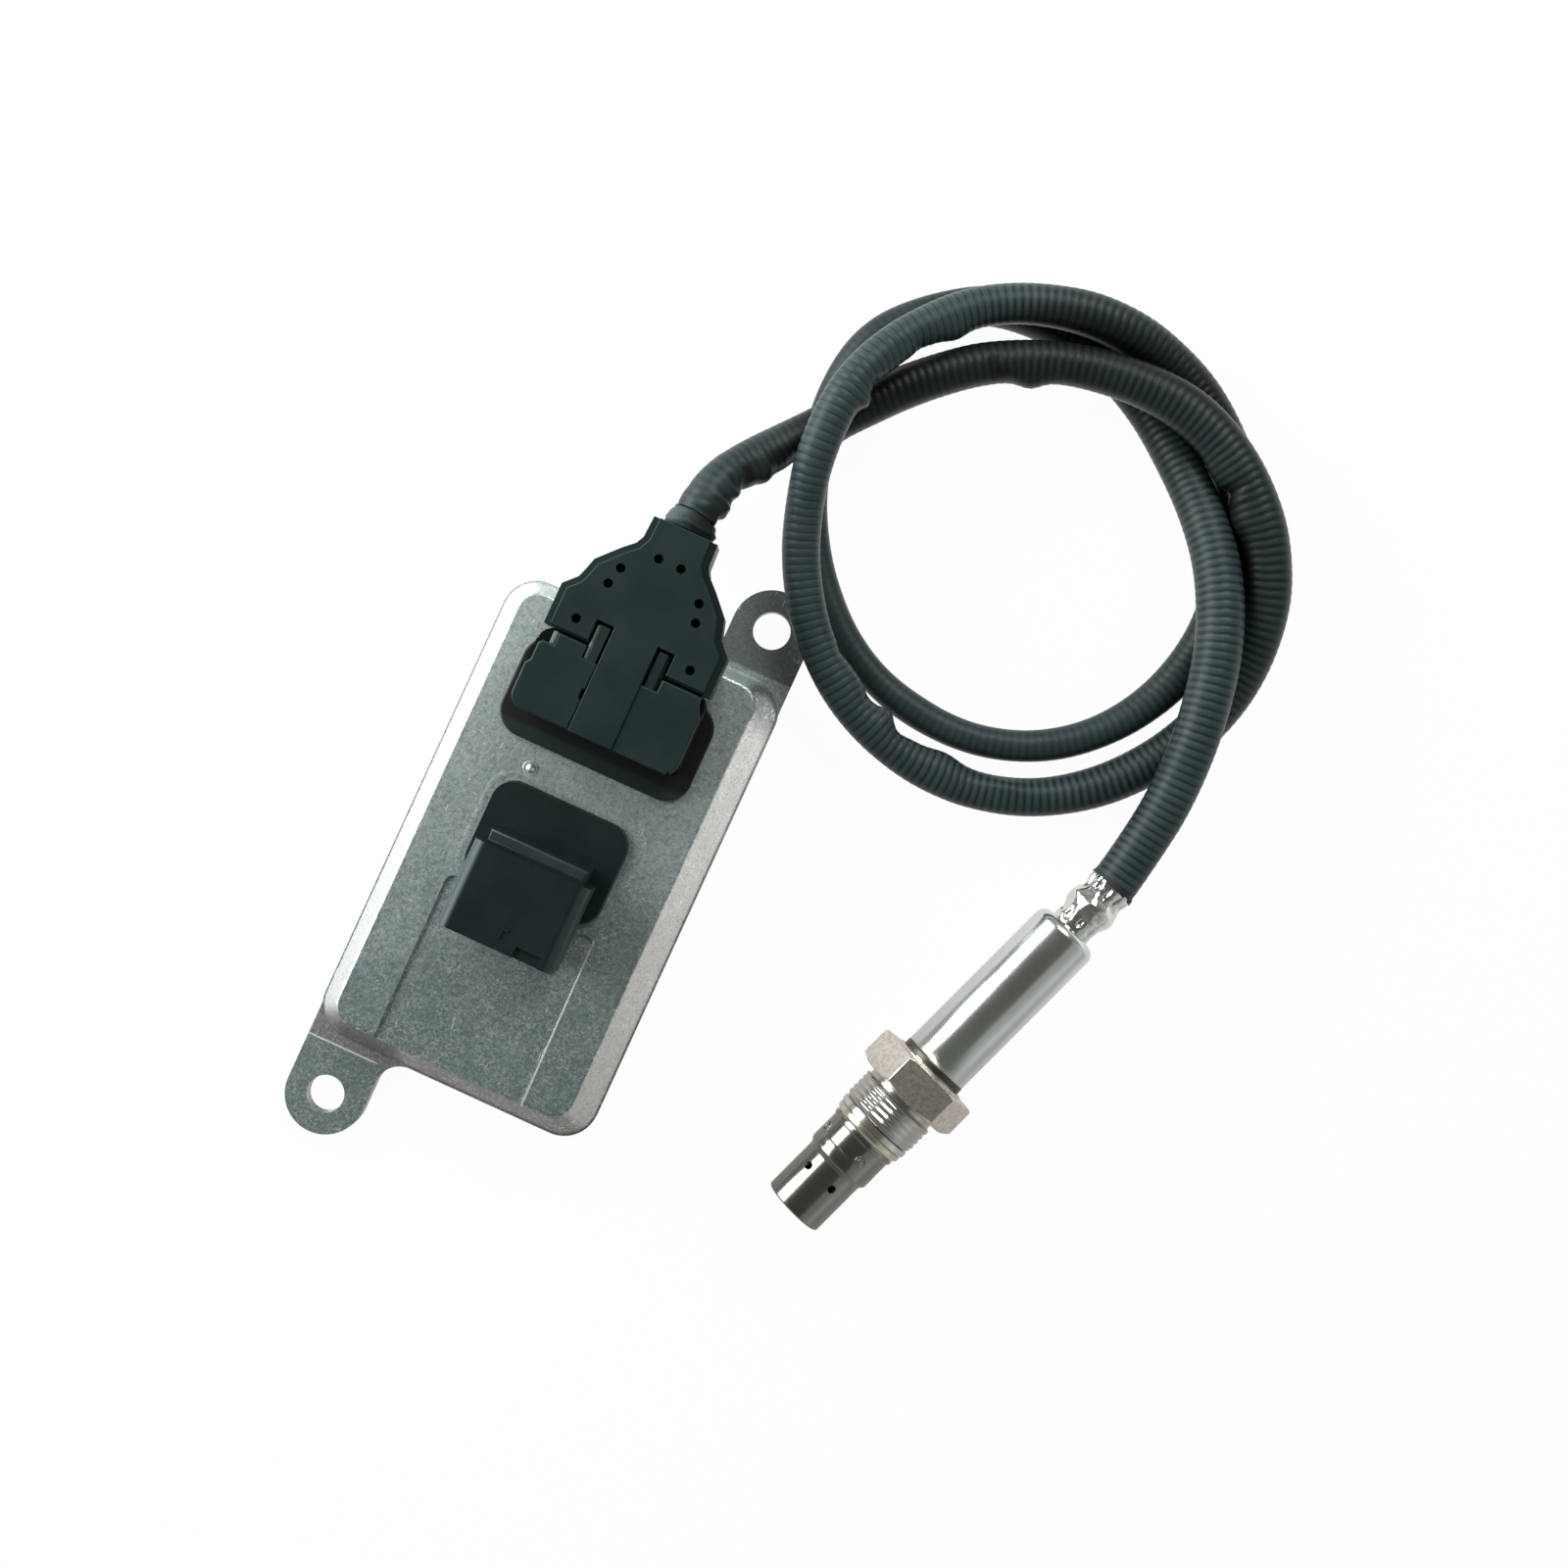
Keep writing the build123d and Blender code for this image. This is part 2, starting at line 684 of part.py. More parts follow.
def make_plug_shell():
    outline = make_face(Polyline(*mirrored(lid_half_outline()), close=True))
    outer = offset(outline, shell_border, kind=Kind.INTERSECTION)
    keep = Pos(0, (plug_back_y + lid_end_y) / 2) * Rectangle(4 * lid_half, lid_end_y - plug_back_y)
    outer &= keep
    base_z = lid_base_z - shell_high
    shell = extrude(Pos(0, 0, base_z) * outer, amount=shell_high)
    low_edges = shell.faces().sort_by(Axis.Z)[0].edges().filter_by(
        lambda e: plug_back_y + 0.5 < e.center().Y < lid_end_y - 0.1)
    shell = fillet(low_edges, shell_edge)
    neck_length = lid_end_y - neck_start_y
    neck_plane = Plane(origin=(0, neck_start_y, neck_z), z_dir=(0, 1, 0), x_dir=(1, 0, 0))
    neck = extrude(neck_plane * Circle(neck_radius), amount=neck_length)
    neck &= Pos(0, neck_start_y + neck_length / 2, lid_base_z - neck_radius) * Box(
        4 * neck_radius, neck_length, 2 * neck_radius)
    shell += neck
    inner = offset(outline, -shell_wall, kind=Kind.INTERSECTION)
    room = extrude(Pos(0, 0, base_z + shell_wall) * inner, amount=shell_high)
    room &= Pos(0, (plug_back_y + neck_start_y) / 2, lid_base_z - shell_high / 2) * Box(
        4 * lid_half, neck_start_y - plug_back_y - shell_wall, shell_high)
    shell -= room
    window_low = plug_top_z - plug_shelf_drop - 0.5
    shell -= Pos(0, (plug_back_y + lid_notch_y) / 2, (window_low + lid_base_z) / 2) * Box(
        2 * lid_notch_out, lid_notch_y - plug_back_y, lid_base_z - window_low)
    bore = extrude(Plane(origin=(0, neck_start_y - 3, neck_z), z_dir=(0, 1, 0)) * Circle(
        hose_dia / 2 - 0.6), amount=neck_length + 3)
    shell -= bore
    return shell


def make_hose_collar():
    # The rubber collar between the plug's neck and the hose, cut square to the hose's end
    plane = Plane(origin=(0, lid_end_y, neck_z), z_dir=(0, 1, 0))
    wide = collar_dia / 2
    slim = hose_dia / 2 + 0.3
    length = collar_length + slim / 4
    outline = Polyline((0, 0), (wide - 0.6, 0), (wide, collar_length * 0.4), (slim, collar_length),
                       (slim, length), (0, length), close=True)
    ring = revolve(make_face(Plane.XZ * outline), Axis.Z)
    ring -= extrude(Circle(hose_dia / 2 - 0.9), amount=length)
    return ring.moved(plane.location) - beyond(hose_start_plane(), 1)


# Hose
def probe_direction():
    turn = math.radians(probe_turn)
    return math.cos(turn), math.sin(turn)


def hose_end_point():
    dx, dy = probe_direction()
    return (probe_tip_x + ferrule_end * dx, probe_tip_y + ferrule_end * dy, probe_axis_z)


def hose_start_plane():
    start = Vector(0, lid_end_y + collar_length, neck_z)
    return Plane(origin=start, z_dir=Vector(*hose_lead[0]))


def hose_end_plane():
    end = Vector(*hose_end_point())
    return Plane(origin=end, z_dir=end - Vector(*hose_points[-1]))


def beyond(plane, side):
    # A block that covers everything on one side of a plane near its origin
    size = 4 * collar_dia
    return plane.location * Pos(0, 0, side * size / 2) * Box(size, size, size)


def make_hose():
    start = hose_start_plane().origin
    points = [start]
    points += [start + Vector(*step) for step in hose_lead]
    points += [Vector(*p) for p in hose_points]
    points.append(hose_end_plane().origin)
    radii = []
    for before, here, after in zip(points, points[1:], points[2:]):
        turn = (here - before).get_angle(after - here)
        shorter = min((here - before).length, (after - here).length)
        radii.append(0.45 * shorter / math.tan(math.radians(turn) / 2))
    print("hose radii", [round(r) for r in radii])
    path = FilletPolyline(*points, radius=radii)
    mouth = Plane(origin=path @ 0, z_dir=path % 0)
    tube = sweep(mouth * Circle(hose_dia / 2), path=path)
    section = math.pi * hose_dia ** 2 / 4
    print("hose length", round(path.length, 1), "volume share", round(tube.volume / (section * path.length), 4))
    return tube


# Probe
def on_probe(shape):
    dx, dy = probe_direction()
    axis = Plane(origin=(probe_tip_x, probe_tip_y, probe_axis_z), z_dir=(dx, dy, 0), x_dir=(0, 0, 1))
    return shape.moved(axis.location)


def turned(points):
    # A turned piece from its half profile, as radius and distance from the tip
    return revolve(make_face(Plane.XZ * Polyline(*points, close=True)), Axis.Z)


def rod(radius, start, end):
    return Pos(0, 0, start) * extrude(Circle(radius), amount=end - start)


def radial_holes(dia, at, count, turn, inner, outer):
    # Round cutters square to the axis, evenly spaced about it
    cutters = []
    for step in range(count):
        angle = turn + step * 360.0 / count
        plane = Plane(origin=(0, 0, at)).rotated((0, 90, 0)).rotated((0, 0, angle))
        cutter = extrude(Circle(dia / 2), amount=outer - inner)
        cutters.append(Rot(0, 0, angle) * Pos(inner, 0, at) * Rot(0, 90, 0) * cutter)
    return cutters


def make_outer_guard():
    r = guard_radius
    top = guard_top_radius
    w = guard_wall
    wall = turned([
        (guard_mouth_dia / 2, 0), (r, 0), (r, guard_step_at), (top, guard_step_end),
        (top, guard_top_at - 0.4), (guard_lip_radius, guard_top_at), (guard_lip_radius, guard_top_at + guard_lip),
        (top - w, guard_top_at + guard_lip), (top - w, guard_step_end + 0.3), (r - w, guard_step_at + 0.3),
        (r - w, w), (guard_mouth_dia / 2, w)])
    rim = wall.edges().filter_by(GeomType.CIRCLE).filter_by(
        lambda e: abs(e.center().Z) < 0.01 and abs(e.radius - r) < 0.01)
    wall = fillet(rim, guard_tip_round * 0.7)
    for cutter in radial_holes(guard_hole_dia, guard_hole_at, guard_hole_count, guard_hole_turn, r - 2, r + 1):
        wall -= cutter
    for cutter in radial_holes(weld_dia, weld_at, weld_count, weld_turn, top - weld_depth, top + 1):
        wall -= cutter
    return on_probe(wall)


def make_inner_guard():
    r = inner_guard_radius
    w = inner_guard_wall
    top = guard_top_at - 1.0
    tube = turned([(0, inner_guard_start), (r, inner_guard_start), (r, top), (r - w, top),
                   (r - w, inner_guard_start + w), (0, inner_guard_start + w)])
    for cutter in radial_holes(guard_hole_dia, inner_guard_hole_at, guard_hole_count, 0, r - 2, r + 1):
        tube -= cutter
    return on_probe(tube)


def make_probe_body():
    # The turned body: guard spigot, sealing flange, and the neck that carries the nut and the sleeve
    spigot = guard_top_radius - guard_wall - fit_gap
    inner = inner_guard_radius + fit_gap
    return on_probe(turned([
        (body_bore, guard_top_at - 1.0), (inner, guard_top_at - 1.0), (inner, guard_top_at - 3.0),
        (spigot, guard_top_at - 3.0), (spigot, flange_at),
        (flange_radius, flange_at), (flange_radius, flange_end), (body_neck_radius, flange_end),
        (body_neck_radius, sleeve_at + 3.0), (body_bore, sleeve_at + 3.0)]))


def make_sealing_ring():
    bore = guard_top_radius - guard_wall + fit_gap
    low = flange_at - ring_thick
    return on_probe(turned([
        (bore, low), (ring_radius - 0.7, low), (ring_radius, low + 0.7), (ring_radius, flange_at - 0.5),
        (ring_radius - 0.5, flange_at), (bore, flange_at)]))


def make_union_nut():
    bore = body_neck_radius + fit_gap
    shank = turned([
        (bore, flange_end), (thread_radius - thread_chamfer, flange_end),
        (thread_radius, flange_end + thread_chamfer), (thread_radius, thread_end - 0.6),
        (undercut_radius, thread_end), (undercut_radius, hex_at), (bore, hex_at)])
    corner = hex_flats / 2 / math.cos(math.radians(30))
    prism = Pos(0, 0, hex_at) * extrude(RegularPolygon(corner, 6, rotation=30), amount=hex_end - hex_at)
    crown = turned([
        (0, hex_at), (corner - hex_crown * 1.75, hex_at), (corner, hex_at + hex_crown),
        (corner, hex_end - hex_crown * 0.4), (corner - hex_crown * 0.7, hex_end), (0, hex_end)])
    head = prism & crown
    head += rod(washer_face_radius, hex_end, hex_end + washer_face)
    head -= rod(bore, hex_at, hex_end + washer_face)
    return on_probe(shank + head)


def make_probe_sleeve():
    r = sleeve_radius
    w = sleeve_wall
    hole = ferrule_radius + fit_gap
    tube = turned([
        (r - w, sleeve_at), (r, sleeve_at), (r, sleeve_end), (hole, sleeve_end),
        (hole, sleeve_end - w), (r - w, sleeve_end - w)])
    shoulder = tube.edges().filter_by(GeomType.CIRCLE).filter_by(
        lambda e: abs(e.center().Z - sleeve_end) < 0.01 and abs(e.radius - r) < 0.01)
    tube = fillet(shoulder, sleeve_shoulder * 0.3)
    collar = turned([
        (body_neck_radius + fit_gap, sleeve_at), (r - w, sleeve_at), (r - w, sleeve_at + 3.0),
        (body_neck_radius + fit_gap, sleeve_at + 3.0)])
    return on_probe(tube + collar)


def ferrule_profile(inward):
    # The crimped tube's outer line, or its inner line when moved inward
    r = ferrule_radius - inward
    low = (r, ferrule_bulge_at - ferrule_bulge_half)
    high = (r, ferrule_bulge_at + ferrule_bulge_half)
    bulge = ThreePointArc(low, (ferrule_bulge - inward, ferrule_bulge_at), high)
    tail = Polyline(high, (r, crimp_last_at + crimp_length / 2), (ferrule_lip_radius - inward, ferrule_end))
    return [Line((r, sleeve_end - ferrule_inset), low), bulge, tail]


def make_crimp_ferrule():
    outer = ferrule_profile(0)
    inner = ferrule_profile(ferrule_wall)
    ends = [Line(outer[0] @ 0, inner[0] @ 0), Line(outer[-1] @ 1, inner[-1] @ 1)]
    tube = revolve(make_face(Plane.XZ * Curve(outer + inner + ends)), Axis.Z)
    lip = ferrule_lip_radius - ferrule_wall / 2
    tube += rod(lip, ferrule_end - ferrule_wall, ferrule_end + 2 * ferrule_wall) - rod(
        hose_dia / 2 - ferrule_wall, ferrule_end - ferrule_wall, ferrule_end + 2 * ferrule_wall)
    groove = crimp_groove_dia / 2
    for at in (crimp_first_at, crimp_last_at):
        for step in range(crimp_count):
            angle = step * 360.0 / crimp_count
            cutter = Pos(ferrule_radius + groove - crimp_groove_depth, 0, at - crimp_length / 2) * extrude(
                Circle(groove), amount=crimp_length)
            tube -= Rot(0, 0, angle) * cutter
    return on_probe(tube) - beyond(hose_end_plane(), -1)


def make_sensing_element():
    length = element_end - element_start
    return on_probe(Pos(0, 0, element_start + length / 2) * Box(element_thick, element_width, length))


def make_element_bush():
    bush = rod(body_bore - fit_gap, guard_top_at - 1.0, bush_end)
    slot = Pos(0, 0, (guard_top_at + bush_end) / 2) * Box(
        element_thick + 2 * fit_gap, element_width + 2 * fit_gap, bush_end)
    return on_probe(bush - slot)


def make_contact_holder():
    r = sleeve_radius - sleeve_wall - fit_gap
    holder = rod(r, holder_start, holder_end)
    slot = Pos(0, 0, holder_start) * Box(holder_slot, element_width + 2 * fit_gap,
                                         2 * (element_end - holder_start + 1))
    return on_probe(holder - slot)


def make_lead_grommet():
    r = sleeve_radius - sleeve_wall - fit_gap
    return on_probe(rod(r, grommet_start, grommet_end))


os.makedirs("parts", exist_ok=True)
save("housing", make_housing())
save("base_plate", make_base_plate())
save("vent_plug", make_vent_plug())
save("circuit_board", make_circuit_board())
save("board_screws", make_board_screws())
save("processor_chip", make_processor_chip())
save("driver_chips", make_driver_chips())
save("capacitors", make_capacitors())
save("sensor_header", make_sensor_header())
save("sensor_header_gasket", make_sensor_gasket())
save("sensor_header_pins", make_sensor_pins())
save("vehicle_header", make_vehicle_header())
save("vehicle_header_gasket", make_vehicle_gasket())
save("vehicle_header_blades", join(blades(0)))
save("plug_body", make_plug_body())
save("plug_seal", make_plug_seal())
save("plug_sleeves", make_plug_sleeves())
save("plug_lid", make_plug_lid())
save("plug_shell", make_plug_shell())
save("hose_collar", make_hose_collar())
save("hose", make_hose())
save("crimp_ferrule", make_crimp_ferrule())
save("probe_sleeve", make_probe_sleeve())
save("lead_grommet", make_lead_grommet())
save("contact_holder", make_contact_holder())
save("sensing_element", make_sensing_element())
save("element_bush", make_element_bush())
save("probe_body", make_probe_body())
save("union_nut", make_union_nut())
save("sealing_ring", make_sealing_ring())
save("outer_guard", make_outer_guard())
save("inner_guard", make_inner_guard())
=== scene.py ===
# %% [markdown]
# # A nitrogen oxide sensor
# The object is an exhaust sensor: a die-cast control unit, a flat plug with a corrugated hose coming out of
# it, and a steel probe on the hose's far end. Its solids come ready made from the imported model, which is the
# frame. This script dresses them: it keeps each solid whose shape is right and gives it a finish, and it
# replaces a solid where the real piece has detail that a plain solid can't show.

# %% Load the frame
import math
import bmesh
import bpy
from mathutils import Matrix, Vector, noise


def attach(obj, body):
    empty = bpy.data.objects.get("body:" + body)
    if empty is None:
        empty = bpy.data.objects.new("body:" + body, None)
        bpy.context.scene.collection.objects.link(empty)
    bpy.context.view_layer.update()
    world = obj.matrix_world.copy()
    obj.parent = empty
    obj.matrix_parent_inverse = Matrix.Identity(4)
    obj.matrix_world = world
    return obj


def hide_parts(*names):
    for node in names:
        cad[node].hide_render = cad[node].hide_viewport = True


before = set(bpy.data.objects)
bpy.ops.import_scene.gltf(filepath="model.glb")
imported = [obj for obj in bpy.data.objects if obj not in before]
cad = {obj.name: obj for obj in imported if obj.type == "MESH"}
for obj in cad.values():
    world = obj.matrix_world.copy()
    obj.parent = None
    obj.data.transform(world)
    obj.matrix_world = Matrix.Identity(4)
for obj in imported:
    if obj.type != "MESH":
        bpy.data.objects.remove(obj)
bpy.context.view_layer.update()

MM = 0.001
print("solids in the frame:", len(cad))

# %% [markdown]
# ## Camera
# The photograph looks straight down on a white table. Lines that rise from the table, such as the sides of
# the plug, lean away from the middle of the picture, so the camera was close, with a normal lens. The unit
# lies turned by 24.6 degrees in the picture, so the camera is turned about its own axis instead.

# %% Camera
picture_turn = math.radians(24.6)
picture_right = Vector((math.cos(picture_turn), math.sin(picture_turn), 0))
picture_up = Vector((-math.sin(picture_turn), math.cos(picture_turn), 0))
picture_middle = Vector((43.08, 40.18, 0)) * MM
camera_height = 450

lens = bpy.data.cameras.new("camera")
lens.sensor_width = 36
lens.sensor_height = 36
lens.sensor_fit = "HORIZONTAL"
lens.lens = 43.13
lens.clip_start = 0.01
camera = bpy.data.objects.new("camera", lens)
camera.location = picture_middle + Vector((0, 0, camera_height)) * MM
camera.rotation_euler = (0, 0, picture_turn)
bpy.context.scene.collection.objects.link(camera)
bpy.context.scene.camera = camera
bpy.context.scene.view_settings.view_transform = "Standard"
print("camera height", round(camera.location.z, 3))

# %% [markdown]
# ## Writing a finish
# A finish is a small network of shader nodes. Reading it as sums is easier than reading a list of links, so
# one class wraps a socket and turns Python's operators into Math nodes, and one method adds any other node.


# %% Helpers for finishes
class Field:
    """A number that varies over the surface. Sums on it add Math nodes to its finish."""

    def __init__(self, finish, socket):
        self.finish = finish
        self.socket = socket

    def math(self, operation, *values):
        return self.finish.node("ShaderNodeMath", {"operation": operation}, dict(enumerate(values)))

    def __add__(self, other):
        return self.math("ADD", self, other)

    def __radd__(self, other):
        return self.math("ADD", other, self)

    def __sub__(self, other):
        return self.math("SUBTRACT", self, other)

    def __rsub__(self, other):
        return self.math("SUBTRACT", other, self)

    def __mul__(self, other):
        return self.math("MULTIPLY", self, other)

    def ramp(self, low, high, start=0.0, end=1.0):
        # Runs from start to end while the number goes from low to high, and stays level beyond them
        return self.finish.node("ShaderNodeMapRange", {}, {0: self, 1: low, 2: high, 3: start, 4: end})

    def above(self, edge, softness):
        # 0 below the edge and 1 above it, with a soft step between
        return self.finish.node("ShaderNodeMapRange", {"interpolation_type": "SMOOTHSTEP"},
                                {0: self, 1: edge - softness / 2, 2: edge + softness / 2, 3: 0.0, 4: 1.0})


class Finish:
    """One material: its Principled shader, and the nodes that feed it."""

    def __init__(self, name, **constants):
        self.material = bpy.data.materials.new(name)
        self.material.use_nodes = True
        self.tree = self.material.node_tree
        self.shader = self.tree.nodes["Principled BSDF"]
        self.coords = self.node("ShaderNodeTexCoord", {}, {}, output="Object")
        for socket, value in constants.items():
            self.shader.inputs[socket.replace("_", " ")].default_value = value

    def node(self, kind, settings, inputs, output=0):
        made = self.tree.nodes.new(kind)
        for key, value in settings.items():
            setattr(made, key, value)
        for key, value in inputs.items():
            self.join(value, made.inputs[key])
        return Field(self, made.outputs[output])

    def join(self, value, socket):
        if isinstance(value, Field):
            self.tree.links.new(value.socket, socket)
        elif socket.type == "RGBA" and len(value) == 3:
            socket.default_value = (*value, 1)
        else:
            socket.default_value = value

    def feed(self, socket, value):
        self.join(value, self.shader.inputs[socket])

    def mix(self, share, low, high):
        # A blend of two colours
        return self.node("ShaderNodeMix", {"data_type": "RGBA"}, {0: share, 6: low, 7: high}, output=2)

    def split(self, vector):
        # The three numbers of a vector
        parts = self.node("ShaderNodeSeparateXYZ", {}, {0: vector}).socket.node
        return [Field(self, output) for output in parts.outputs]

    def normal(self):
        return self.node("ShaderNodeTexCoord", {}, {}, output="Normal")

    def stretched(self, scale=(1, 1, 1), turn=0.0):
        # The piece's own place, turned about the upright axis and then scaled
        return self.node("ShaderNodeMapping", {}, {0: self.coords, 2: (0, 0, turn), 3: scale})

    def grain(self, size, detail=2.0, roughness=0.5, coords=None, distortion=0.0):
        # Soft noise whose blotches are about the given size in millimetres
        return self.node("ShaderNodeTexNoise", {}, {
            "Vector": coords or self.coords, "Scale": 1 / (size * MM), "Detail": detail,
            "Roughness": roughness, "Distortion": distortion})

    def relief(self, height, depth):
        # A bump whose height field of 0 to 1 stands for the given depth in millimetres
        self.feed("Normal", self.node("ShaderNodeBump", {}, {"Distance": depth * MM, "Height": height}))


def two_tone(name, size, dark, light, **constants):
    # A finish of one colour with soft blotches of a second one
    finish = Finish(name, **constants)
    finish.feed("Base Color", finish.mix(finish.grain(size), dark, light))
    return finish


print("finish helpers ready")

# %% [markdown]
# ## Floor, lamps and surroundings
# The table is pure white in the picture and hardly shows a shadow. The camera sees the floor's own white, and
# a little of the floor answers to the lamps, so that a faint shadow stays. Shiny pieces show more of the
# room: the table was brighter towards the top of the picture than at the bottom, a long soft lamp stood to the
# upper left, a second one hung beyond the top, and the ceiling was dim and warm.

# %% Floor
floor_half = 3.0
floor_drop = 0.2
floor_bm = bmesh.new()
bmesh.ops.create_grid(floor_bm, x_segments=1, y_segments=1, size=floor_half)
bmesh.ops.translate(floor_bm, verts=floor_bm.verts, vec=(0, 0, -floor_drop * MM))
floor_mesh = bpy.data.meshes.new("floor")
floor_bm.to_mesh(floor_mesh)
floor = bpy.data.objects.new("floor", floor_mesh)
bpy.context.scene.collection.objects.link(floor)

table_white = Finish("table_white", Roughness=0.9, Specular_IOR_Level=0.0)
blotches = table_white.grain(60, detail=1.0)
table_white.feed("Base Color", table_white.mix(blotches, (0.86, 0.87, 0.87), (0.89, 0.89, 0.89)))
rays = table_white.node("ShaderNodeLightPath", {}, {}, output="Is Camera Ray").socket.node
camera_ray = Field(table_white, rays.outputs["Is Camera Ray"])
mirror_ray = Field(table_white, rays.outputs["Is Glossy Ray"])
glass_ray = Field(table_white, rays.outputs["Is Transmission Ray"])
# The table as the shiny pieces see it: dim at the picture's bottom edge and bright at its top
table_turned = table_white.stretched(turn=-picture_turn - math.radians(80))
up_table = table_white.split(table_turned)[0]
table_span = up_table.ramp(-0.065, 0.120)
table_tone = table_white.mix(table_span, (0.49, 0.48, 0.465), (1.52, 1.55, 1.53))
glow_tone = table_white.mix(camera_ray, table_tone, (1.0, 1.0, 1.0))
glow = table_white.node("ShaderNodeEmission", {}, {"Color": glow_tone, "Strength": 1.0})
lit = Field(table_white, table_white.shader.outputs[0])
shadowless = 0.97
own_light = camera_ray * shadowless + mirror_ray + glass_ray
both = table_white.node("ShaderNodeMixShader", {}, {0: own_light, 1: lit, 2: glow})
table_out = table_white.tree.nodes["Material Output"]
table_white.tree.links.new(both.socket, table_out.inputs["Surface"])
floor_mesh.materials.append(table_white.material)
print("floor laid at", round(floor_mesh.vertices[0].co.z / MM, 2), "mm")


# %% Lamps
def softbox(name, bearing, tilt, distance, width, height, power, colour=(1, 1, 1)):
    # A soft lamp aimed at the middle of the picture; its bearing is measured from the picture's right
    lamp = bpy.data.lights.new(name, "AREA")
    lamp.shape = "RECTANGLE"
    lamp.size = width
    lamp.size_y = height
    lamp.energy = power
    lamp.color = colour
    along = math.radians(bearing)
    flat = picture_right * math.cos(along) + picture_up * math.sin(along)
    away = flat * math.sin(math.radians(tilt)) + Vector((0, 0, 1)) * math.cos(math.radians(tilt))
    holder = bpy.data.objects.new(name, lamp)
    holder.location = picture_middle + away * distance
    holder.rotation_euler = away.to_track_quat("Z", "Y").to_euler()
    bpy.context.scene.collection.objects.link(holder)


softbox("lamp_left", bearing=148, tilt=63, distance=0.80, width=0.75, height=0.50, power=9.8)
softbox("lamp_beyond", bearing=62, tilt=46, distance=0.80, width=0.45, height=0.28, power=3.4)
softbox("lamp_right", bearing=-38, tilt=58, distance=0.90, width=1.20, height=0.75, power=0.7,
        colour=(0.97, 1.0, 0.98))

# %% Surroundings
world = bpy.data.worlds.new("room")
world.use_nodes = True
bpy.context.scene.world = world
sky = world.node_tree.nodes
direction = sky.new("ShaderNodeTexCoord")
parts = sky.new("ShaderNodeSeparateXYZ")
world.node_tree.links.new(direction.outputs["Generated"], parts.inputs[0])
rise = sky.new("ShaderNodeValToRGB")
horizon, ceiling = rise.color_ramp.elements
horizon.color = (0.60, 0.64, 0.63, 1)
ceiling.position = 0.60
ceiling.color = (0.17, 0.19, 0.18, 1)
overhead = rise.color_ramp.elements.new(0.97)
overhead.color = (0.125, 0.119, 0.108, 1)
world.node_tree.links.new(parts.outputs["Z"], rise.inputs[0])
world.node_tree.links.new(rise.outputs[0], sky["Background"].inputs["Color"])
sky["Background"].inputs["Strength"].default_value = 1.0

# %% [markdown]
# ## The hose's line
# The hose is a cord: a fixed length of something flexible that lies under its own weight. Its line repeats
# the route of the solid tube, one point for each bend, as a smooth NURBS curve. Everything on the hose
# follows points that are read back from that curve.

# %% The hose's route
hose_route = [
    (0.0, 86.5, 29.0), (0.8, 95.0, 27.8), (5.5, 104.0, 21.8), (12.5, 113.5, 17.0), (21.5, 125.0, 15.8),
    (33.0, 138.5, 15.8), (48.0, 150.5, 16.0), (67.0, 157.5, 16.2), (88.0, 158.5, 16.2), (105.5, 153.0, 16.2),
    (120.5, 140.5, 15.8), (129.5, 124.0, 12.2), (131.0, 103.0, 6.2), (122.5, 83.0, 5.2), (107.5, 66.5, 5.2),
    (88.5, 57.5, 5.4), (68.5, 56.5, 9.0), (50.5, 62.0, 12.6), (35.5, 73.0, 15.4), (25.5, 87.0, 17.6),
    (20.5, 100.5, 21.8), (18.0, 114.0, 26.8), (19.0, 130.0, 26.8), (26.0, 145.5, 22.2), (36.5, 158.0, 18.0),
    (50.5, 166.0, 16.6), (67.0, 170.0, 15.4), (84.5, 168.8, 8.8), (100.5, 161.0, 5.2), (112.5, 148.5, 5.2),
    (119.0, 131.0, 5.2), (119.5, 108.0, 5.2), (112.0, 89.0, 5.2), (98.0, 74.5, 5.2), (79.0, 67.5, 5.2),
    (58.5, 69.0, 5.2), (42.0, 76.5, 5.2), (29.0, 89.5, 5.2), (19.5, 106.0, 5.2), (15.5, 124.0, 5.2),
    (18.5, 143.0, 5.2), (28.5, 156.5, 5.2), (42.0, 165.0, 5.2), (60.0, 166.0, 5.2), (80.0, 160.0, 5.2),
    (98.5, 146.0, 8.2), (112.5, 130.0, 14.8), (121.0, 112.5, 17.0), (125.0, 93.5, 16.8), (126.0, 74.5, 14.8),
    (124.5, 60.5, 12.8), (122.566, 50.254, 12.0),
]


def smooth_line(name, points, steps):
    # Points along the NURBS curve that has the given control points
    curve = bpy.data.curves.new(name, "CURVE")
    curve.dimensions = "3D"
    curve.resolution_u = steps
    spline = curve.splines.new("NURBS")
    spline.points.add(len(points) - 1)
    for knot, place in zip(spline.points, points):
        knot.co = (*(Vector(place) * MM), 1)
    spline.order_u = 3
    spline.use_endpoint_u = True
    carrier = bpy.data.objects.new(name, curve)
    line = bpy.data.meshes.new_from_object(carrier)
    found = [v.co.copy() for v in line.vertices]
    bpy.data.objects.remove(carrier)
    bpy.data.curves.remove(curve)
    bpy.data.meshes.remove(line)
    return found


def even_steps(points, step):
    # The same line with points at even distances, and for each its share of the whole list of points
    reach = [0.0]
    for before, after in zip(points, points[1:]):
        reach.append(reach[-1] + (after - before).length)
    count = round(reach[-1] / step)
    out, shares, at = [], [], 0
    for k in range(count + 1):
        goal = min(reach[-1] * k / count, reach[-1] - 1e-9)
        while reach[at + 1] < goal:
            at += 1
        part = (goal - reach[at]) / (reach[at + 1] - reach[at])
        out.append(points[at].lerp(points[at + 1], part))
        shares.append((at + part) / (len(points) - 1))
    return out, shares, reach[-1]


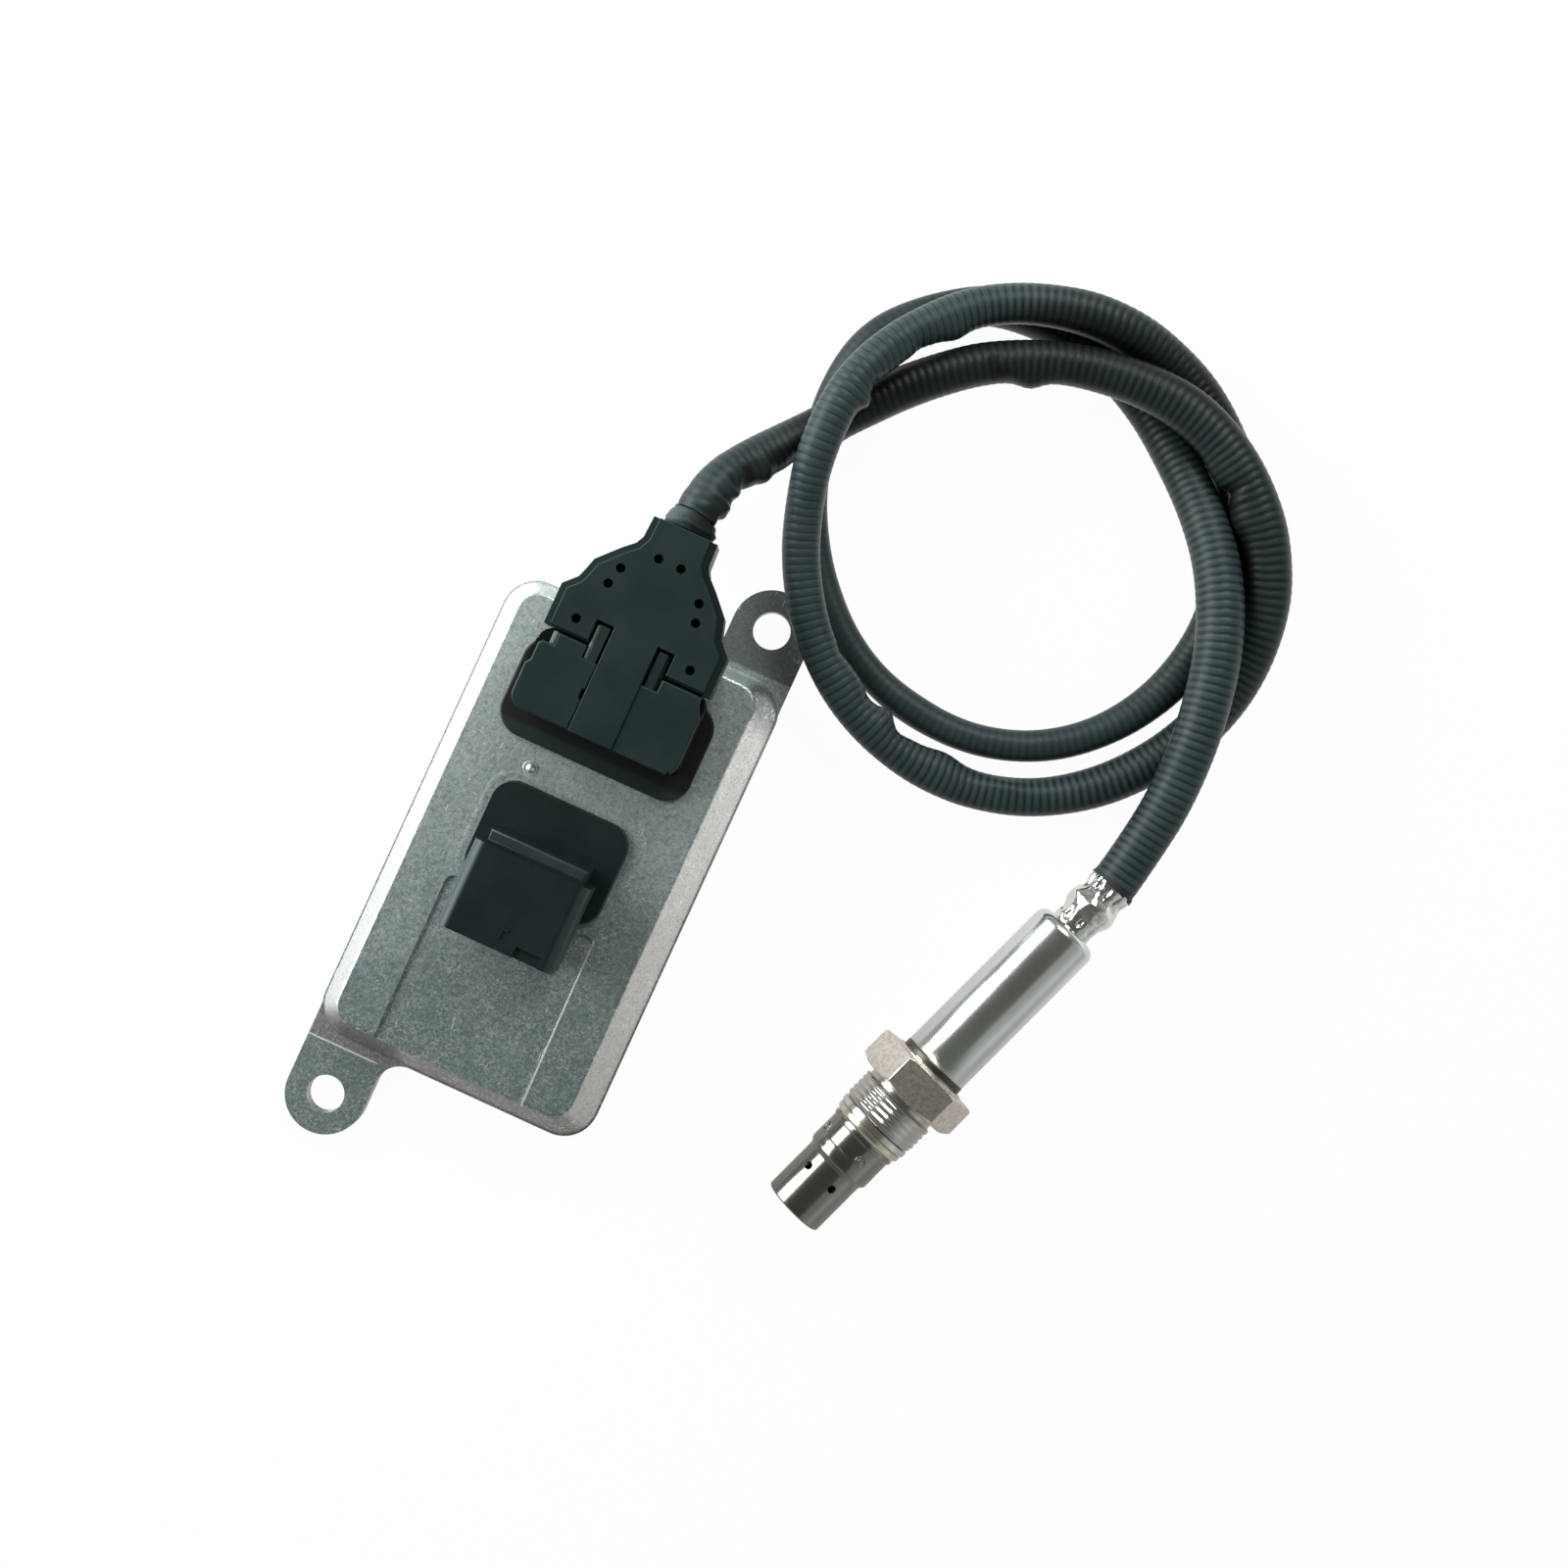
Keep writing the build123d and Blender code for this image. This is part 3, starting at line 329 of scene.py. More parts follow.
rib_pitch = 1.9
rings_per_rib = 6
fine_line = smooth_line("hose_line", hose_route, steps=24)
hose_line, hose_shares, hose_length = even_steps(fine_line, rib_pitch * MM / rings_per_rib)
print("hose length", round(hose_length, 4), "rings", len(hose_line))

# %% [markdown]
# ## The hose's skin
# The real hose is a ribbed tube with a thin sleeve drawn over it. The ribs hardly show in its outline, but each
# of them catches the lamps as a short soft dash. The sleeve is fuller on some strands than on others, it is
# crumpled where it leaves the plug, and on the inside of the bends it puckers into folds. The skin is a grid
# that is rolled round the line: each ring gets its radius from the strand it is on, a rib's wave, and the folds.
# Each vertex also keeps two numbers for the finish: the painted shade of the rubber there, and where it is on a
# rib, which sets a painted highlight on the crests.

# %% Fullness of each strand, and its folds
# Place on the route (numbered by its points), radius in millimetres, strength of the ribs, and the painted shade of
# the rubber: low on strands that lie in shade, high on lit ones
hose_fullness = [
    (0, 4.75, 0.1, 0.9), (0.1, 5.0, 0.3, 0.9), (1.5, 5.0, 0.5, 0.65), (4, 5.0, 0.7, 0.2), (6, 4.9, 1.0, 0.25),
    (9, 5.0, 1.0, 0.5), (12, 5.3, 1.0, 0.5), (15, 4.5, 1.0, 0.9), (19, 4.45, 1.0, 1.5), (23, 4.5, 1.0, 1.5),
    (26, 4.8, 1.0, 0.5), (28, 5.4, 1.0, 0.15), (30, 5.2, 0.8, 0.2), (31, 4.6, 0.6, 0.6), (33, 3.8, 0.35, 0.8),
    (37, 3.7, 0.12, 0.8), (41, 3.9, 0.3, 0.6), (43, 5.0, 0.6, 0.10), (45, 5.1, 0.9, 0.5), (47, 5.6, 1.0, 1.0),
    (51, 5.5, 1.0, 1.0),
]
# Place on the route, the side it is on (0 on top, 90 towards the coil's middle), half length and half width in
# millimetres, and how far the skin stands out or dips in
hose_folds = [
    (0.25, 85, 2.0, 3.6, 1.1), (0.95, 75, 2.5, 4.0, -1.3), (1.55, 80, 3.0, 4.2, 1.1), (0.75, 40, 1.2, 2.4, -0.5),
    (0.45, 50, 1.0, 2.5, -0.6), (2.3, 80, 3.0, 3.5, -0.7), (3.0, 80, 4.0, 4.5, 0.8),
    (5.45, 10, 1.2, 3.0, -0.5), (5.65, 20, 1.6, 3.4, 0.5), (5.95, 85, 3.5, 4.0, 1.5), (6.15, 40, 1.6, 2.6, -0.5),
    (8.75, 85, 4.0, 4.0, 0.6), (9.08, 75, 1.6, 4.0, -1.4), (9.5, 85, 4.0, 4.0, 1.1), (10.5, 85, 12.0, 4.5, 1.1),
    (14.7, 30, 5.0, 1.8, 0.6), (14.3, 65, 9.0, 2.0, -0.5), (15.5, 85, 5.0, 4.0, 1.4), (16.2, 80, 3.0, 3.5, -0.7),
    (16.5, 85, 2.8, 4.0, 1.7), (16.85, 60, 2.0, 2.5, -0.6), (17.15, 88, 5.0, 4.0, 0.8), (17.6, 70, 2.2, 3.0, -0.4),
    (21.75, 85, 2.5, 4.0, 1.5), (22.1, 80, 2.0, 3.5, -0.9), (22.65, -20, 2.0, 3.0, 0.5), (23.0, 60, 2.5, 3.0, -0.8),
    (23.6, 85, 4.5, 4.0, 1.2), (40.3, -88, 20.0, 4.0, 1.9), (29.5, 88, 14.0, 4.0, 0.8),
    (26.6, 88, 22.0, 4.5, 1.3), (7.9, -88, 16.0, 4.0, 0.9), (9.2, 88, 14.0, 4.0, 0.9),
]
# Place on the route, side, half length and half width of the patches that lie in the dark
hose_dark = [
    (26.2, 68, 36.0, 5.4), (7.6, -75, 26.0, 3.6), (10.1, 80, 15.0, 5.0), (3.3, -60, 16.0, 6.0),
    (43.2, 0, 22.0, 9.0), (28.8, 0, 24.0, 8.0), (0.0, 80, 8.0, 7.0), (1.1, 60, 1.8, 4.4), (2.4, 80, 20.0, 6.5),
    (9.2, 60, 2.5, 4.5), (5.55, 60, 2.0, 4.5),
]
coil_middle = Vector((72, 112, 8)) * MM
last_place = len(hose_route) - 1
hose_step = hose_length / last_place / MM
print("folds:", len(hose_folds), "dark patches:", len(hose_dark))


def strand_at(here):
    # Radius in millimetres, strength of the ribs and painted shade, at a place on the route
    for (low, *before), (high, *after) in zip(hose_fullness, hose_fullness[1:]):
        if here <= high:
            part = (here - low) / (high - low)
            part = part * part * (3 - 2 * part)
            return [a + (b - a) * part for a, b in zip(before, after)]
    return hose_fullness[-1][1:]


def travelling_frames(points):
    # A pair of cross directions at each point, carried along the line without twisting
    side = Vector((1, 0, 0))
    out = []
    for i, place in enumerate(points):
        ahead = points[min(i + 1, len(points) - 1)]
        behind = points[max(i - 1, 0)]
        forward = (ahead - behind).normalized()
        side = (side - forward * side.dot(forward)).normalized()
        out.append((forward, side, forward.cross(side)))
    return out


mark_reach = 2.5


def ring_marks(ring, marks):
    # The folds or patches that reach a ring: for each the way it faces, its half width and its lift at this ring
    forward = frames[ring][0]
    inward = coil_middle - hose_line[ring]
    inward = (inward - forward * inward.dot(forward)).normalized()
    upward = (Vector((0, 0, 1)) - forward * forward.z)
    upward = (upward - inward * upward.dot(inward)).normalized()
    found = []
    for place, turn, half_length, half_width, lift in marks:
        apart = (hose_shares[ring] * last_place - place) * hose_step / half_length
        if abs(apart) < mark_reach:
            facing = inward * math.sin(math.radians(turn)) + upward * math.cos(math.radians(turn))
            found.append((facing, half_width, lift * math.exp(-apart * apart)))
    return found


def mark_on(facing, half_width, lift, out, radius, power=2):
    # How much of a fold or a patch there is in one direction out of a ring
    across = math.acos(max(-1, min(1, out.dot(facing)))) * radius / half_width
    return lift * math.exp(-across ** power)


# %% Roll the skin round the line
skin_columns = 28
rib_depth = 0.17
lump_depth = 0.16
crumple_end = 2.6
crumple_depth = 1.5
darkest = 0.92
table_clearance = 0.15
lump_scale = 70
crumple_scale = Vector((240, 460, 240))
skin_bm = bmesh.new()
bmesh.ops.create_grid(skin_bm, x_segments=len(hose_line) - 1, y_segments=skin_columns, size=1.0)
frames = travelling_frames(hose_line)
folds_at = [ring_marks(ring, hose_folds) for ring in range(len(hose_line))]
dark_at = [ring_marks(ring, [(*mark, darkest) for mark in hose_dark]) for ring in range(len(hose_line))]
shade_layer = skin_bm.verts.layers.float.new("shade")
crest_layer = skin_bm.verts.layers.float.new("crest")
for v in skin_bm.verts:
    ring = round((v.co.x + 1) / 2 * (len(hose_line) - 1))
    turn = (v.co.y + 1) / 2 * math.tau
    forward, side, other = frames[ring]
    out = side * math.cos(turn) + other * math.sin(turn)
    here = hose_shares[ring] * last_place
    radius, ribs, v[shade_layer] = strand_at(here)
    wave = (0.5 + 0.5 * math.cos(math.tau * ring / rings_per_rib)) ** 0.8
    v[crest_layer] = 0.5 + (wave - 0.5) * ribs
    # The ribs are stretched flat at the hose's sides, so they hardly show in its outline
    radius += rib_depth * ribs * (0.25 + 0.75 * abs(out.z)) * (wave - 1)
    spot = hose_line[ring] + out * radius * MM
    radius += lump_depth * noise.noise(spot * lump_scale)
    if here < crumple_end:
        # The crumpled start, on the side towards the coil
        crumple = (1 - here / crumple_end) ** 2 * max(0.10, out.x)
        radius += crumple * crumple_depth * noise.noise(spot * crumple_scale)
    for fold in folds_at[ring]:
        radius += mark_on(*fold, out, radius)
    for patch in dark_at[ring]:
        v[shade_layer] *= 1 - mark_on(*patch, out, radius, power=4)
    place = hose_line[ring] + out * radius * MM
    place.z = max(place.z, table_clearance * MM)
    v.co = place
bmesh.ops.remove_doubles(skin_bm, verts=skin_bm.verts, dist=0.01 * MM)
print("skin faces", len(skin_bm.faces))

# %% [markdown]
# ## Making a piece
# Every piece ends the same way: its mesh gets outward normals, smooth shading with its real edges kept
# sharp, a finish and a place in the frame.


# %% Helpers for pieces
same_plane = 0.99998
narrowest_flat = 0.9
flat_turn = 0.004


def flat_regions(bm):
    # Numbers each face by the flat region it is in, or 0 where the surface is round
    region_of = {}
    count = 0
    for first in bm.faces:
        if first in region_of:
            continue
        found, waiting = {first}, [first]
        while waiting:
            face = waiting.pop()
            for edge in face.edges:
                for other in edge.link_faces:
                    level = other.normal.dot(first.normal) > same_plane
                    if level and other not in found and other not in region_of:
                        found.add(other)
                        waiting.append(other)
        corners = [v.co for face in found for v in face.verts]
        span = max((a - corners[0]).length for a in corners)
        wide = sum(face.calc_area() for face in found) / max(span, 1e-9)
        count += 1
        for face in found:
            region_of[face] = count if wide > narrowest_flat * MM else 0
    return region_of


def mark_edges(bm, limit):
    # An edge is sharp where it turns by more than the limit, and where a wide flat face ends
    bm.normal_update()
    region_of = flat_regions(bm)
    for edge in bm.edges:
        if len(edge.link_faces) != 2:
            continue
        one, two = edge.link_faces
        turned_by = one.normal.angle(two.normal, 0)
        ends_flat = region_of[one] != region_of[two]
        edge.smooth = not (turned_by > limit or (ends_flat and turned_by > flat_turn))


def finished(name, bm, finish, sharp=35, turn_out=True, stands_for=()):
    # Turns a bmesh into a piece; sharp is the angle in degrees beyond which an edge stays sharp
    if turn_out:
        bmesh.ops.recalc_face_normals(bm, faces=bm.faces)
    for face in bm.faces:
        face.smooth = True
    if sharp:
        mark_edges(bm, math.radians(sharp))
    mesh = bpy.data.meshes.new(name)
    bm.to_mesh(mesh)
    bm.free()
    own_normals = mesh.attributes.get("custom_normal")
    if own_normals:
        mesh.attributes.remove(own_normals)
    mesh.materials.append(finish.material)
    piece = bpy.data.objects.new(name, mesh)
    bpy.context.scene.collection.objects.link(piece)
    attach(piece, "root")
    if stands_for:
        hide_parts(*stands_for)
    print("piece", name, "has", len(mesh.polygons), "faces")
    return piece


def copied(node):
    # A solid's mesh with its loose triangles joined up
    bm = bmesh.new()
    bm.from_mesh(cad[node].data)
    bmesh.ops.remove_doubles(bm, verts=bm.verts, dist=0.001 * MM)
    return bm


def smoothed(node, finish, sharp=30):
    # The solid's own shape, shaded smooth where it is round
    return finished(node + "_smooth", copied(node), finish, sharp, turn_out=False, stands_for=(node,))


def cut_off(bm, at, towards):
    # Removes what lies beyond a plane and closes the cut
    parts = list(bm.verts) + list(bm.edges) + list(bm.faces)
    cut = bmesh.ops.bisect_plane(bm, geom=parts, plane_co=at, plane_no=towards, clear_outer=True)
    edges = [g for g in cut["geom_cut"] if isinstance(g, bmesh.types.BMEdge)]
    bmesh.ops.holes_fill(bm, edges=edges)


def rounded(bm, edges, radius, segments=2):
    # Bevels edges by a radius in millimetres
    bmesh.ops.bevel(bm, geom=edges, offset=radius * MM, segments=segments, profile=0.5, affect="EDGES",
                    material=-1)


def slab(bm, outline, low, high, edge=0.0, segments=2):
    # An upright block over an outline in millimetres, its top edges rounded
    corners = [bm.verts.new((x * MM, y * MM, low * MM)) for x, y in outline]
    base = bm.faces.new(corners)
    raised = bmesh.ops.extrude_face_region(bm, geom=[base])
    tops = [g for g in raised["geom"] if isinstance(g, bmesh.types.BMVert)]
    bmesh.ops.translate(bm, verts=tops, vec=(0, 0, (high - low) * MM))
    if edge:
        rounded(bm, [e for e in bm.edges if e.verts[0] in tops and e.verts[1] in tops], edge, segments)


def box_outline(x0, x1, y0, y1):
    # The four corners of an upright block
    return [(x0, y0), (x1, y0), (x1, y1), (x0, y1)]


def arc_points(cx, cy, radius, start, end, steps):
    # Points on an arc, its angles in degrees
    out = []
    for k in range(steps + 1):
        turn = math.radians(start + (end - start) * k / steps)
        out.append((cx + radius * math.cos(turn), cy + radius * math.sin(turn)))
    return out


print("piece helpers ready")

# %% [markdown]
# ## Rubber and plastic finishes
# The hose's sleeve is a satin, slightly green rubber. Its crests get a painted highlight, its sides and underside
# painted shade, and it is painted almost black where the strands shade each other. The plug and the headers are
# moulded in a filled plastic, a shade darker, with a fine even grain. Their flat tops show only the dim ceiling.
# Their edges get a painted highlight, strongest on the left, towards the main lamp.

# %% Hose rubber
hose_rubber = Finish("hose_rubber", Specular_IOR_Level=0.20)
streaks = hose_rubber.grain(9, detail=3.0)
dust = hose_rubber.grain(0.6)
shade = hose_rubber.node("ShaderNodeAttribute", {"attribute_name": "shade"}, {}, output="Fac")
crest = hose_rubber.node("ShaderNodeAttribute", {"attribute_name": "crest"}, {}, output="Fac")
rubber_tone = hose_rubber.mix(streaks.above(0.5, 0.5), (0.026, 0.045, 0.047), (0.037, 0.058, 0.060))
upward = hose_rubber.split(hose_rubber.normal())[2]
# Painted light: a painted highlight on the rib crests, painted shade on the sides and underside, times the painted
# shade of the strands and dark patches
painted_light_and_shade = shade * (0.25 + crest * 1.15) * upward.ramp(-0.1, 0.85, 0.35, 1.05)
hose_rubber.feed("Base Color", hose_rubber.mix(painted_light_and_shade, (0.0015, 0.002, 0.002), rubber_tone))
hose_rubber.feed("Roughness", 0.36 + dust * 0.14)
hose_rubber.relief(dust, 0.012)

hose = finished("hose_skin", skin_bm, hose_rubber, sharp=0, stands_for=("hose",))


# %% Moulded plastics
def moulding(name, dark, light, roughness, edges=None, shadow_from=None, specular=0.3):
    finish = Finish(name, Specular_IOR_Level=specular)
    cloud = finish.grain(12)
    tone = finish.mix(cloud.above(0.5, 0.5), dark, light)
    if edges:
        # Painted highlight: the rounded edges on the sides are made paler, the left ones most, where the lamps
        # light them
        to_right = finish.split(finish.normal())[0]
        edge_highlight = (0 - to_right).above(0.20, 0.3) + to_right.above(0.30, 0.3) * 0.35
        tone = finish.mix(edge_highlight, tone, edges)
    if shadow_from:
        # What lies under the plug, beyond this distance along the case, gets no light
        along = finish.split(finish.coords)[1]
        tone = finish.mix(along.above(shadow_from * MM, 1.6 * MM) * 0.95, tone, (0.0005, 0.0006, 0.0006))
    finish.feed("Base Color", tone)
    finish.feed("Roughness", roughness + cloud * 0.10)
    finish.relief(finish.grain(0.22), 0.008)
    return finish


plug_black = moulding("plug_black", (0.003, 0.014, 0.014), (0.007, 0.019, 0.019), 0.42)
shadow_black = moulding("shadow_black", (0.001, 0.002, 0.002), (0.002, 0.003, 0.003), 0.70, specular=0.12)
highlight_grey = moulding("highlight_grey", (0.11, 0.14, 0.14), (0.16, 0.19, 0.19), 0.50)
header_black = moulding("header_black", (0.003, 0.009, 0.010), (0.006, 0.013, 0.014), 0.36,
                        edges=(0.045, 0.068, 0.070))
bar_black = moulding("bar_black", (0.012, 0.022, 0.023), (0.018, 0.030, 0.031), 0.40,
                     edges=(0.060, 0.080, 0.082))
shaded_black = moulding("shaded_black", (0.006, 0.014, 0.015), (0.009, 0.018, 0.019), 0.50,
                        edges=(0.020, 0.030, 0.031), shadow_from=28.0)
soft_black = Finish("soft_black", Roughness=0.65)
soft_cloud = soft_black.grain(3, detail=3.0)
soft_black.feed("Base Color", soft_black.mix(soft_cloud, (0.005, 0.007, 0.007), (0.012, 0.016, 0.016)))
soft_black.relief(soft_cloud, 0.05)

# The collar's colour is painted light and shade: pale on the side of the lamps, and black towards the coil as
# painted shade
collar_black = Finish("collar_black", Roughness=0.55, Specular_IOR_Level=0.25)
collar_side = collar_black.split(collar_black.coords)[0] + collar_black.grain(2.5) * 0.004
collar_black.feed("Base Color", collar_black.mix(
    collar_side.ramp(-0.001, 0.003), (0.040, 0.064, 0.066), (0.002, 0.003, 0.003)))
print("rubber and plastic finishes ready")

# %% [markdown]
# ## Cast metal
# The case is a die casting that was blasted: a green grey skin, rough at the scale of a grain, with bright
# specks where a grain's face caught a lamp, short fine scratches, and duller patches. Its tone is built up in
# layers, from the walls' broad tones to the specks. The walls' broad tones are painted light, lighter or darker
# by the way each wall faces the lamps and the table, with painted shade beside the plug and painted highlights
# on two edges. The masks for the walls come from the way a face looks.

# %% Cast aluminium
cast_metal = Finish("cast_metal", Metallic=0.9)
across, along, height = cast_metal.split(cast_metal.coords)
to_right, to_far, _ = cast_metal.split(cast_metal.normal())


def near_line(value, half_width):
    # 1 on a line where the value is zero, and 0 further away than the half width
    return value.math("ABSOLUTE", value).ramp(half_width * 0.4 * MM, half_width * MM, 1.0, 0.0)


patches = cast_metal.grain(16, detail=3.0)
mottle = cast_metal.grain(0.8, detail=4.0, roughness=0.75)
curls = cast_metal.grain(0.95, roughness=0.6, distortion=1.6)
grit = cast_metal.grain(0.62, roughness=0.7, distortion=0.8)
sparkle_share = cast_metal.grain(6, detail=3.0).ramp(0.40, 0.62, 0.25, 1.0)
sparkle = (grit.above(0.605, 0.06) + curls.above(0.64, 0.04)) * sparkle_share
long_way = cast_metal.stretched((1, 0.14, 1), turn=0.5)
cross_way = cast_metal.stretched((0.16, 1, 1), turn=-0.35)
scratches = (cast_metal.grain(0.5, coords=long_way).above(0.68, 0.05)
             + cast_metal.grain(0.5, coords=cross_way).above(0.69, 0.05))
scratches = scratches * cast_metal.grain(6).above(0.52, 0.2)

# Where the tone changes, in metres along the case
low_wall_y = -0.0604
far_lug_y = 0.0615
lighter = along.ramp(-0.045, 0.040, 0.0, 0.75) + (patches - 0.5) * 0.6
# Painted light by facing: the left wall is painted white where the left lamp and the bright table light it, the
# right wall pinkish grey and the low side darker and browner by the table they reflect
left_wall = (0 - to_right).above(0.40, 0.4) * 0.90
right_wall = to_right.above(0.55, 0.4) * 0.75
# Painted shade on the right-facing slopes at the far end, beside the plug
valley_shade = to_right.above(0.25, 0.4) * along.above(0.050, 0.008) * 0.8
foot = along.above(low_wall_y, 0.0002) * (0 - along).above(0.055, 0.001) * height.ramp(0.0055, 0.0060, 1.0, 0.0)
low_wall = (0 - to_far).above(0.50, 0.4) * 0.85
low_side = low_wall.math("MAXIMUM", low_wall, foot * 0.8)
# Painted shadow of the plug: the far lug is darkened, and most of its specks are taken away
far_lug_shadow = along.above(far_lug_y, 0.001)
# Painted highlights on edges that the left lamp lights: the channel's right wall, which faces the lamp, and where
# the lower lug meets the wall
channel_highlight = near_line(across + along * 0.012 - 0.01825, 0.30)
channel_highlight = channel_highlight * height.above(0.0165, 0.001) * along.ramp(-0.0115, -0.0105, 1.0, 0.0)
lug_line_highlight = near_line(along - low_wall_y, 0.28) * across.ramp(-0.018, -0.0165, 1.0, 0.0)

skin_tone = cast_metal.mix(lighter, (0.205, 0.285, 0.283), (0.48, 0.56, 0.55))
layers = [
    (left_wall, (1.0, 1.0, 0.98)),
    (right_wall, (0.90, 0.84, 0.81)),
    (valley_shade, (0.13, 0.155, 0.15)),
    (low_side, (0.33, 0.285, 0.275)),
    (mottle.ramp(0.34, 0.50, 0.55, 0.0), (0.10, 0.135, 0.135)),
    (mottle.ramp(0.50, 0.68, 0.0, 0.60), (0.58, 0.64, 0.63)),
    (far_lug_shadow * 0.70, (0.115, 0.125, 0.115)),
    (sparkle - far_lug_shadow * sparkle * 0.85, (1.0, 1.0, 1.0)),
    (scratches * 0.7, (0.92, 0.96, 0.95)),
    (channel_highlight + lug_line_highlight, (1.0, 1.0, 1.0)),
]
for share, colour in layers:
    skin_tone = cast_metal.mix(share, skin_tone, colour)
cast_metal.feed("Base Color", skin_tone)
cast_metal.feed("Roughness", 0.46 - sparkle * 0.20 + patches * 0.05)
cast_metal.relief(mottle * 0.4 + grit * 0.6, 0.07)
print("cast metal has", len(layers), "layers of tone")

# %% [markdown]
# ## Steel
# The probe's pieces are turned and drawn steel. The turned ones have very fine rings round the axis; the
# drawn ones are smoother. Almost all of their look is what they reflect. The nut is stained by heat.

# %% Steels
probe_tip = Vector((86.0, -48.6, 12.0)) * MM
probe_bearing = math.radians(69.7)
probe_ahead = Vector((math.cos(probe_bearing), math.sin(probe_bearing), 0))
probe_right = Vector((math.sin(probe_bearing), -math.cos(probe_bearing), 0))
# The piece's own X is up, its Y is to the right of the axis, and its Z runs from the tip to the hose
probe_place = Matrix((
    (0, probe_right.x, probe_ahead.x, probe_tip.x),
    (0, probe_right.y, probe_ahead.y, probe_tip.y),
    (1, 0, 0, probe_tip.z),
    (0, 0, 0, 1)))


def steel(name, colour, roughness, ring_size, ring_depth, stain=None):
    finish = Finish(name, Metallic=1.0)
    from_tip = finish.split(finish.stretched(turn=-probe_bearing))[0]
    lines = finish.node("ShaderNodeTexNoise", {"noise_dimensions": "1D"}, {
        "W": from_tip * (1 / (ring_size * MM)), "Scale": 1.0, "Detail": 3.0})
    smear = finish.grain(7)
    fine = finish.grain(0.35)
    tone = finish.mix(smear, [c * 0.88 for c in colour], colour)
    if stain:
        tone = finish.mix(finish.grain(1.1, detail=4.0, roughness=0.8).ramp(0.42, 0.62, 0.0, 0.8), tone, stain)
    finish.feed("Base Color", tone)
    finish.feed("Roughness", roughness + smear * 0.06 + fine * 0.04)
    finish.relief(lines * 0.8 + fine * 0.1, ring_depth)
    return finish


drawn_steel = steel("drawn_steel", (0.68, 0.71, 0.68), 0.15, 0.35, 0.002)
guard_steel = steel("guard_steel", (0.30, 0.285, 0.265), 0.13, 0.35, 0.002)
turned_steel = steel("turned_steel", (0.72, 0.72, 0.69), 0.15, 0.25, 0.005)
nut_steel = steel("nut_steel", (0.82, 0.80, 0.74), 0.30, 0.5, 0.012, stain=(0.52, 0.42, 0.34))
thread_steel = steel("thread_steel", (0.54, 0.52, 0.49), 0.14, 0.25, 0.004)
# The neck between the nut and the sleeve is simply given a darker steel
dark_neck_steel = steel("dark_neck_steel", (0.11, 0.10, 0.085), 0.35, 0.5, 0.004)
bright_steel = steel("bright_steel", (0.74, 0.73, 0.70), 0.10, 0.5, 0.002)
ring_steel = steel("ring_steel", (0.72, 0.69, 0.56), 0.18, 0.3, 0.004)
vent_white = steel("vent_white", (0.93, 0.96, 0.99), 0.42, 0.4, 0.004)
print("steels ready")

# %% Finishes for what is inside
board_green = Finish("board_green", Roughness=0.35)
traces = board_green.node("ShaderNodeTexVoronoi", {}, {"Vector": board_green.coords, "Scale": 1 / (2.2 * MM)})
board_green.feed("Base Color", board_green.mix(traces.above(0.3, 0.1), (0.010, 0.09, 0.035), (0.016, 0.13, 0.05)))
chip_black = two_tone("chip_black", 0.4, (0.010, 0.010, 0.011), (0.020, 0.020, 0.021), Roughness=0.6)
contact_tin = two_tone("contact_tin", 1.5, (0.62, 0.55, 0.38), (0.75, 0.70, 0.55), Metallic=1.0, Roughness=0.3)
fired_white = two_tone("fired_white", 2.0, (0.74, 0.73, 0.69), (0.82, 0.81, 0.78), Roughness=0.55)
plain_zinc = two_tone("plain_zinc", 2.5, (0.55, 0.56, 0.56), (0.68, 0.69, 0.69), Metallic=1.0)
plain_zinc.feed("Roughness", 0.25 + plain_zinc.grain(1.0) * 0.15)
print("inner finishes ready")

# %% [markdown]
# ## Solids that keep their shape
# The hidden solids only get a finish. The visible ones are shown by a copy of their own mesh with smooth
# shading, because a solid's triangles look faceted in a close view.

# %% Dress the solids
finish_of = {
    "base_plate": plain_zinc, "circuit_board": board_green, "board_screws": plain_zinc,
    "processor_chip": chip_black, "driver_chips": chip_black, "capacitors": plain_zinc,
    "sensor_header_gasket": soft_black, "sensor_header_pins": contact_tin,
    "vehicle_header_gasket": soft_black, "vehicle_header_blades": contact_tin, "plug_seal": soft_black,
    "plug_sleeves": contact_tin, "lead_grommet": soft_black, "contact_holder": fired_white,
    "sensing_element": fired_white, "element_bush": fired_white, "inner_guard": drawn_steel,
}
for node, finish in finish_of.items():
    cad[node].data.materials.clear()
    cad[node].data.materials.append(finish.material)
print("dressed", len(finish_of), "hidden solids")

# %% Case, headers and plug
smoothed("housing", cast_metal)
smoothed("sensor_header", shaded_black)
smoothed("vehicle_header", header_black)
smoothed("plug_lid", plug_black)
smoothed("plug_shell", plug_black)

# %% Creased collar
longest_edge = 1.2
crease_depth = 0.55
crease_scale = Vector((260, 700, 260))
collar_bm = copied("hose_collar")
long_edges = [e for e in collar_bm.edges if e.calc_length() > longest_edge * MM]
bmesh.ops.subdivide_edges(collar_bm, edges=long_edges, cuts=2)
bmesh.ops.triangulate(collar_bm, faces=collar_bm.faces)
collar_bm.normal_update()
for v in collar_bm.verts:
    crease = noise.noise(v.co * crease_scale) - 0.45
    v.co += v.normal * crease * crease_depth * MM
finished("collar_skin", collar_bm, collar_black, sharp=0, turn_out=False,
         stands_for=("hose_collar",))

# %% Plain pieces of the probe
smoothed("probe_body", turned_steel)
smoothed("sealing_ring", ring_steel)
smoothed("outer_guard", guard_steel, sharp=12)

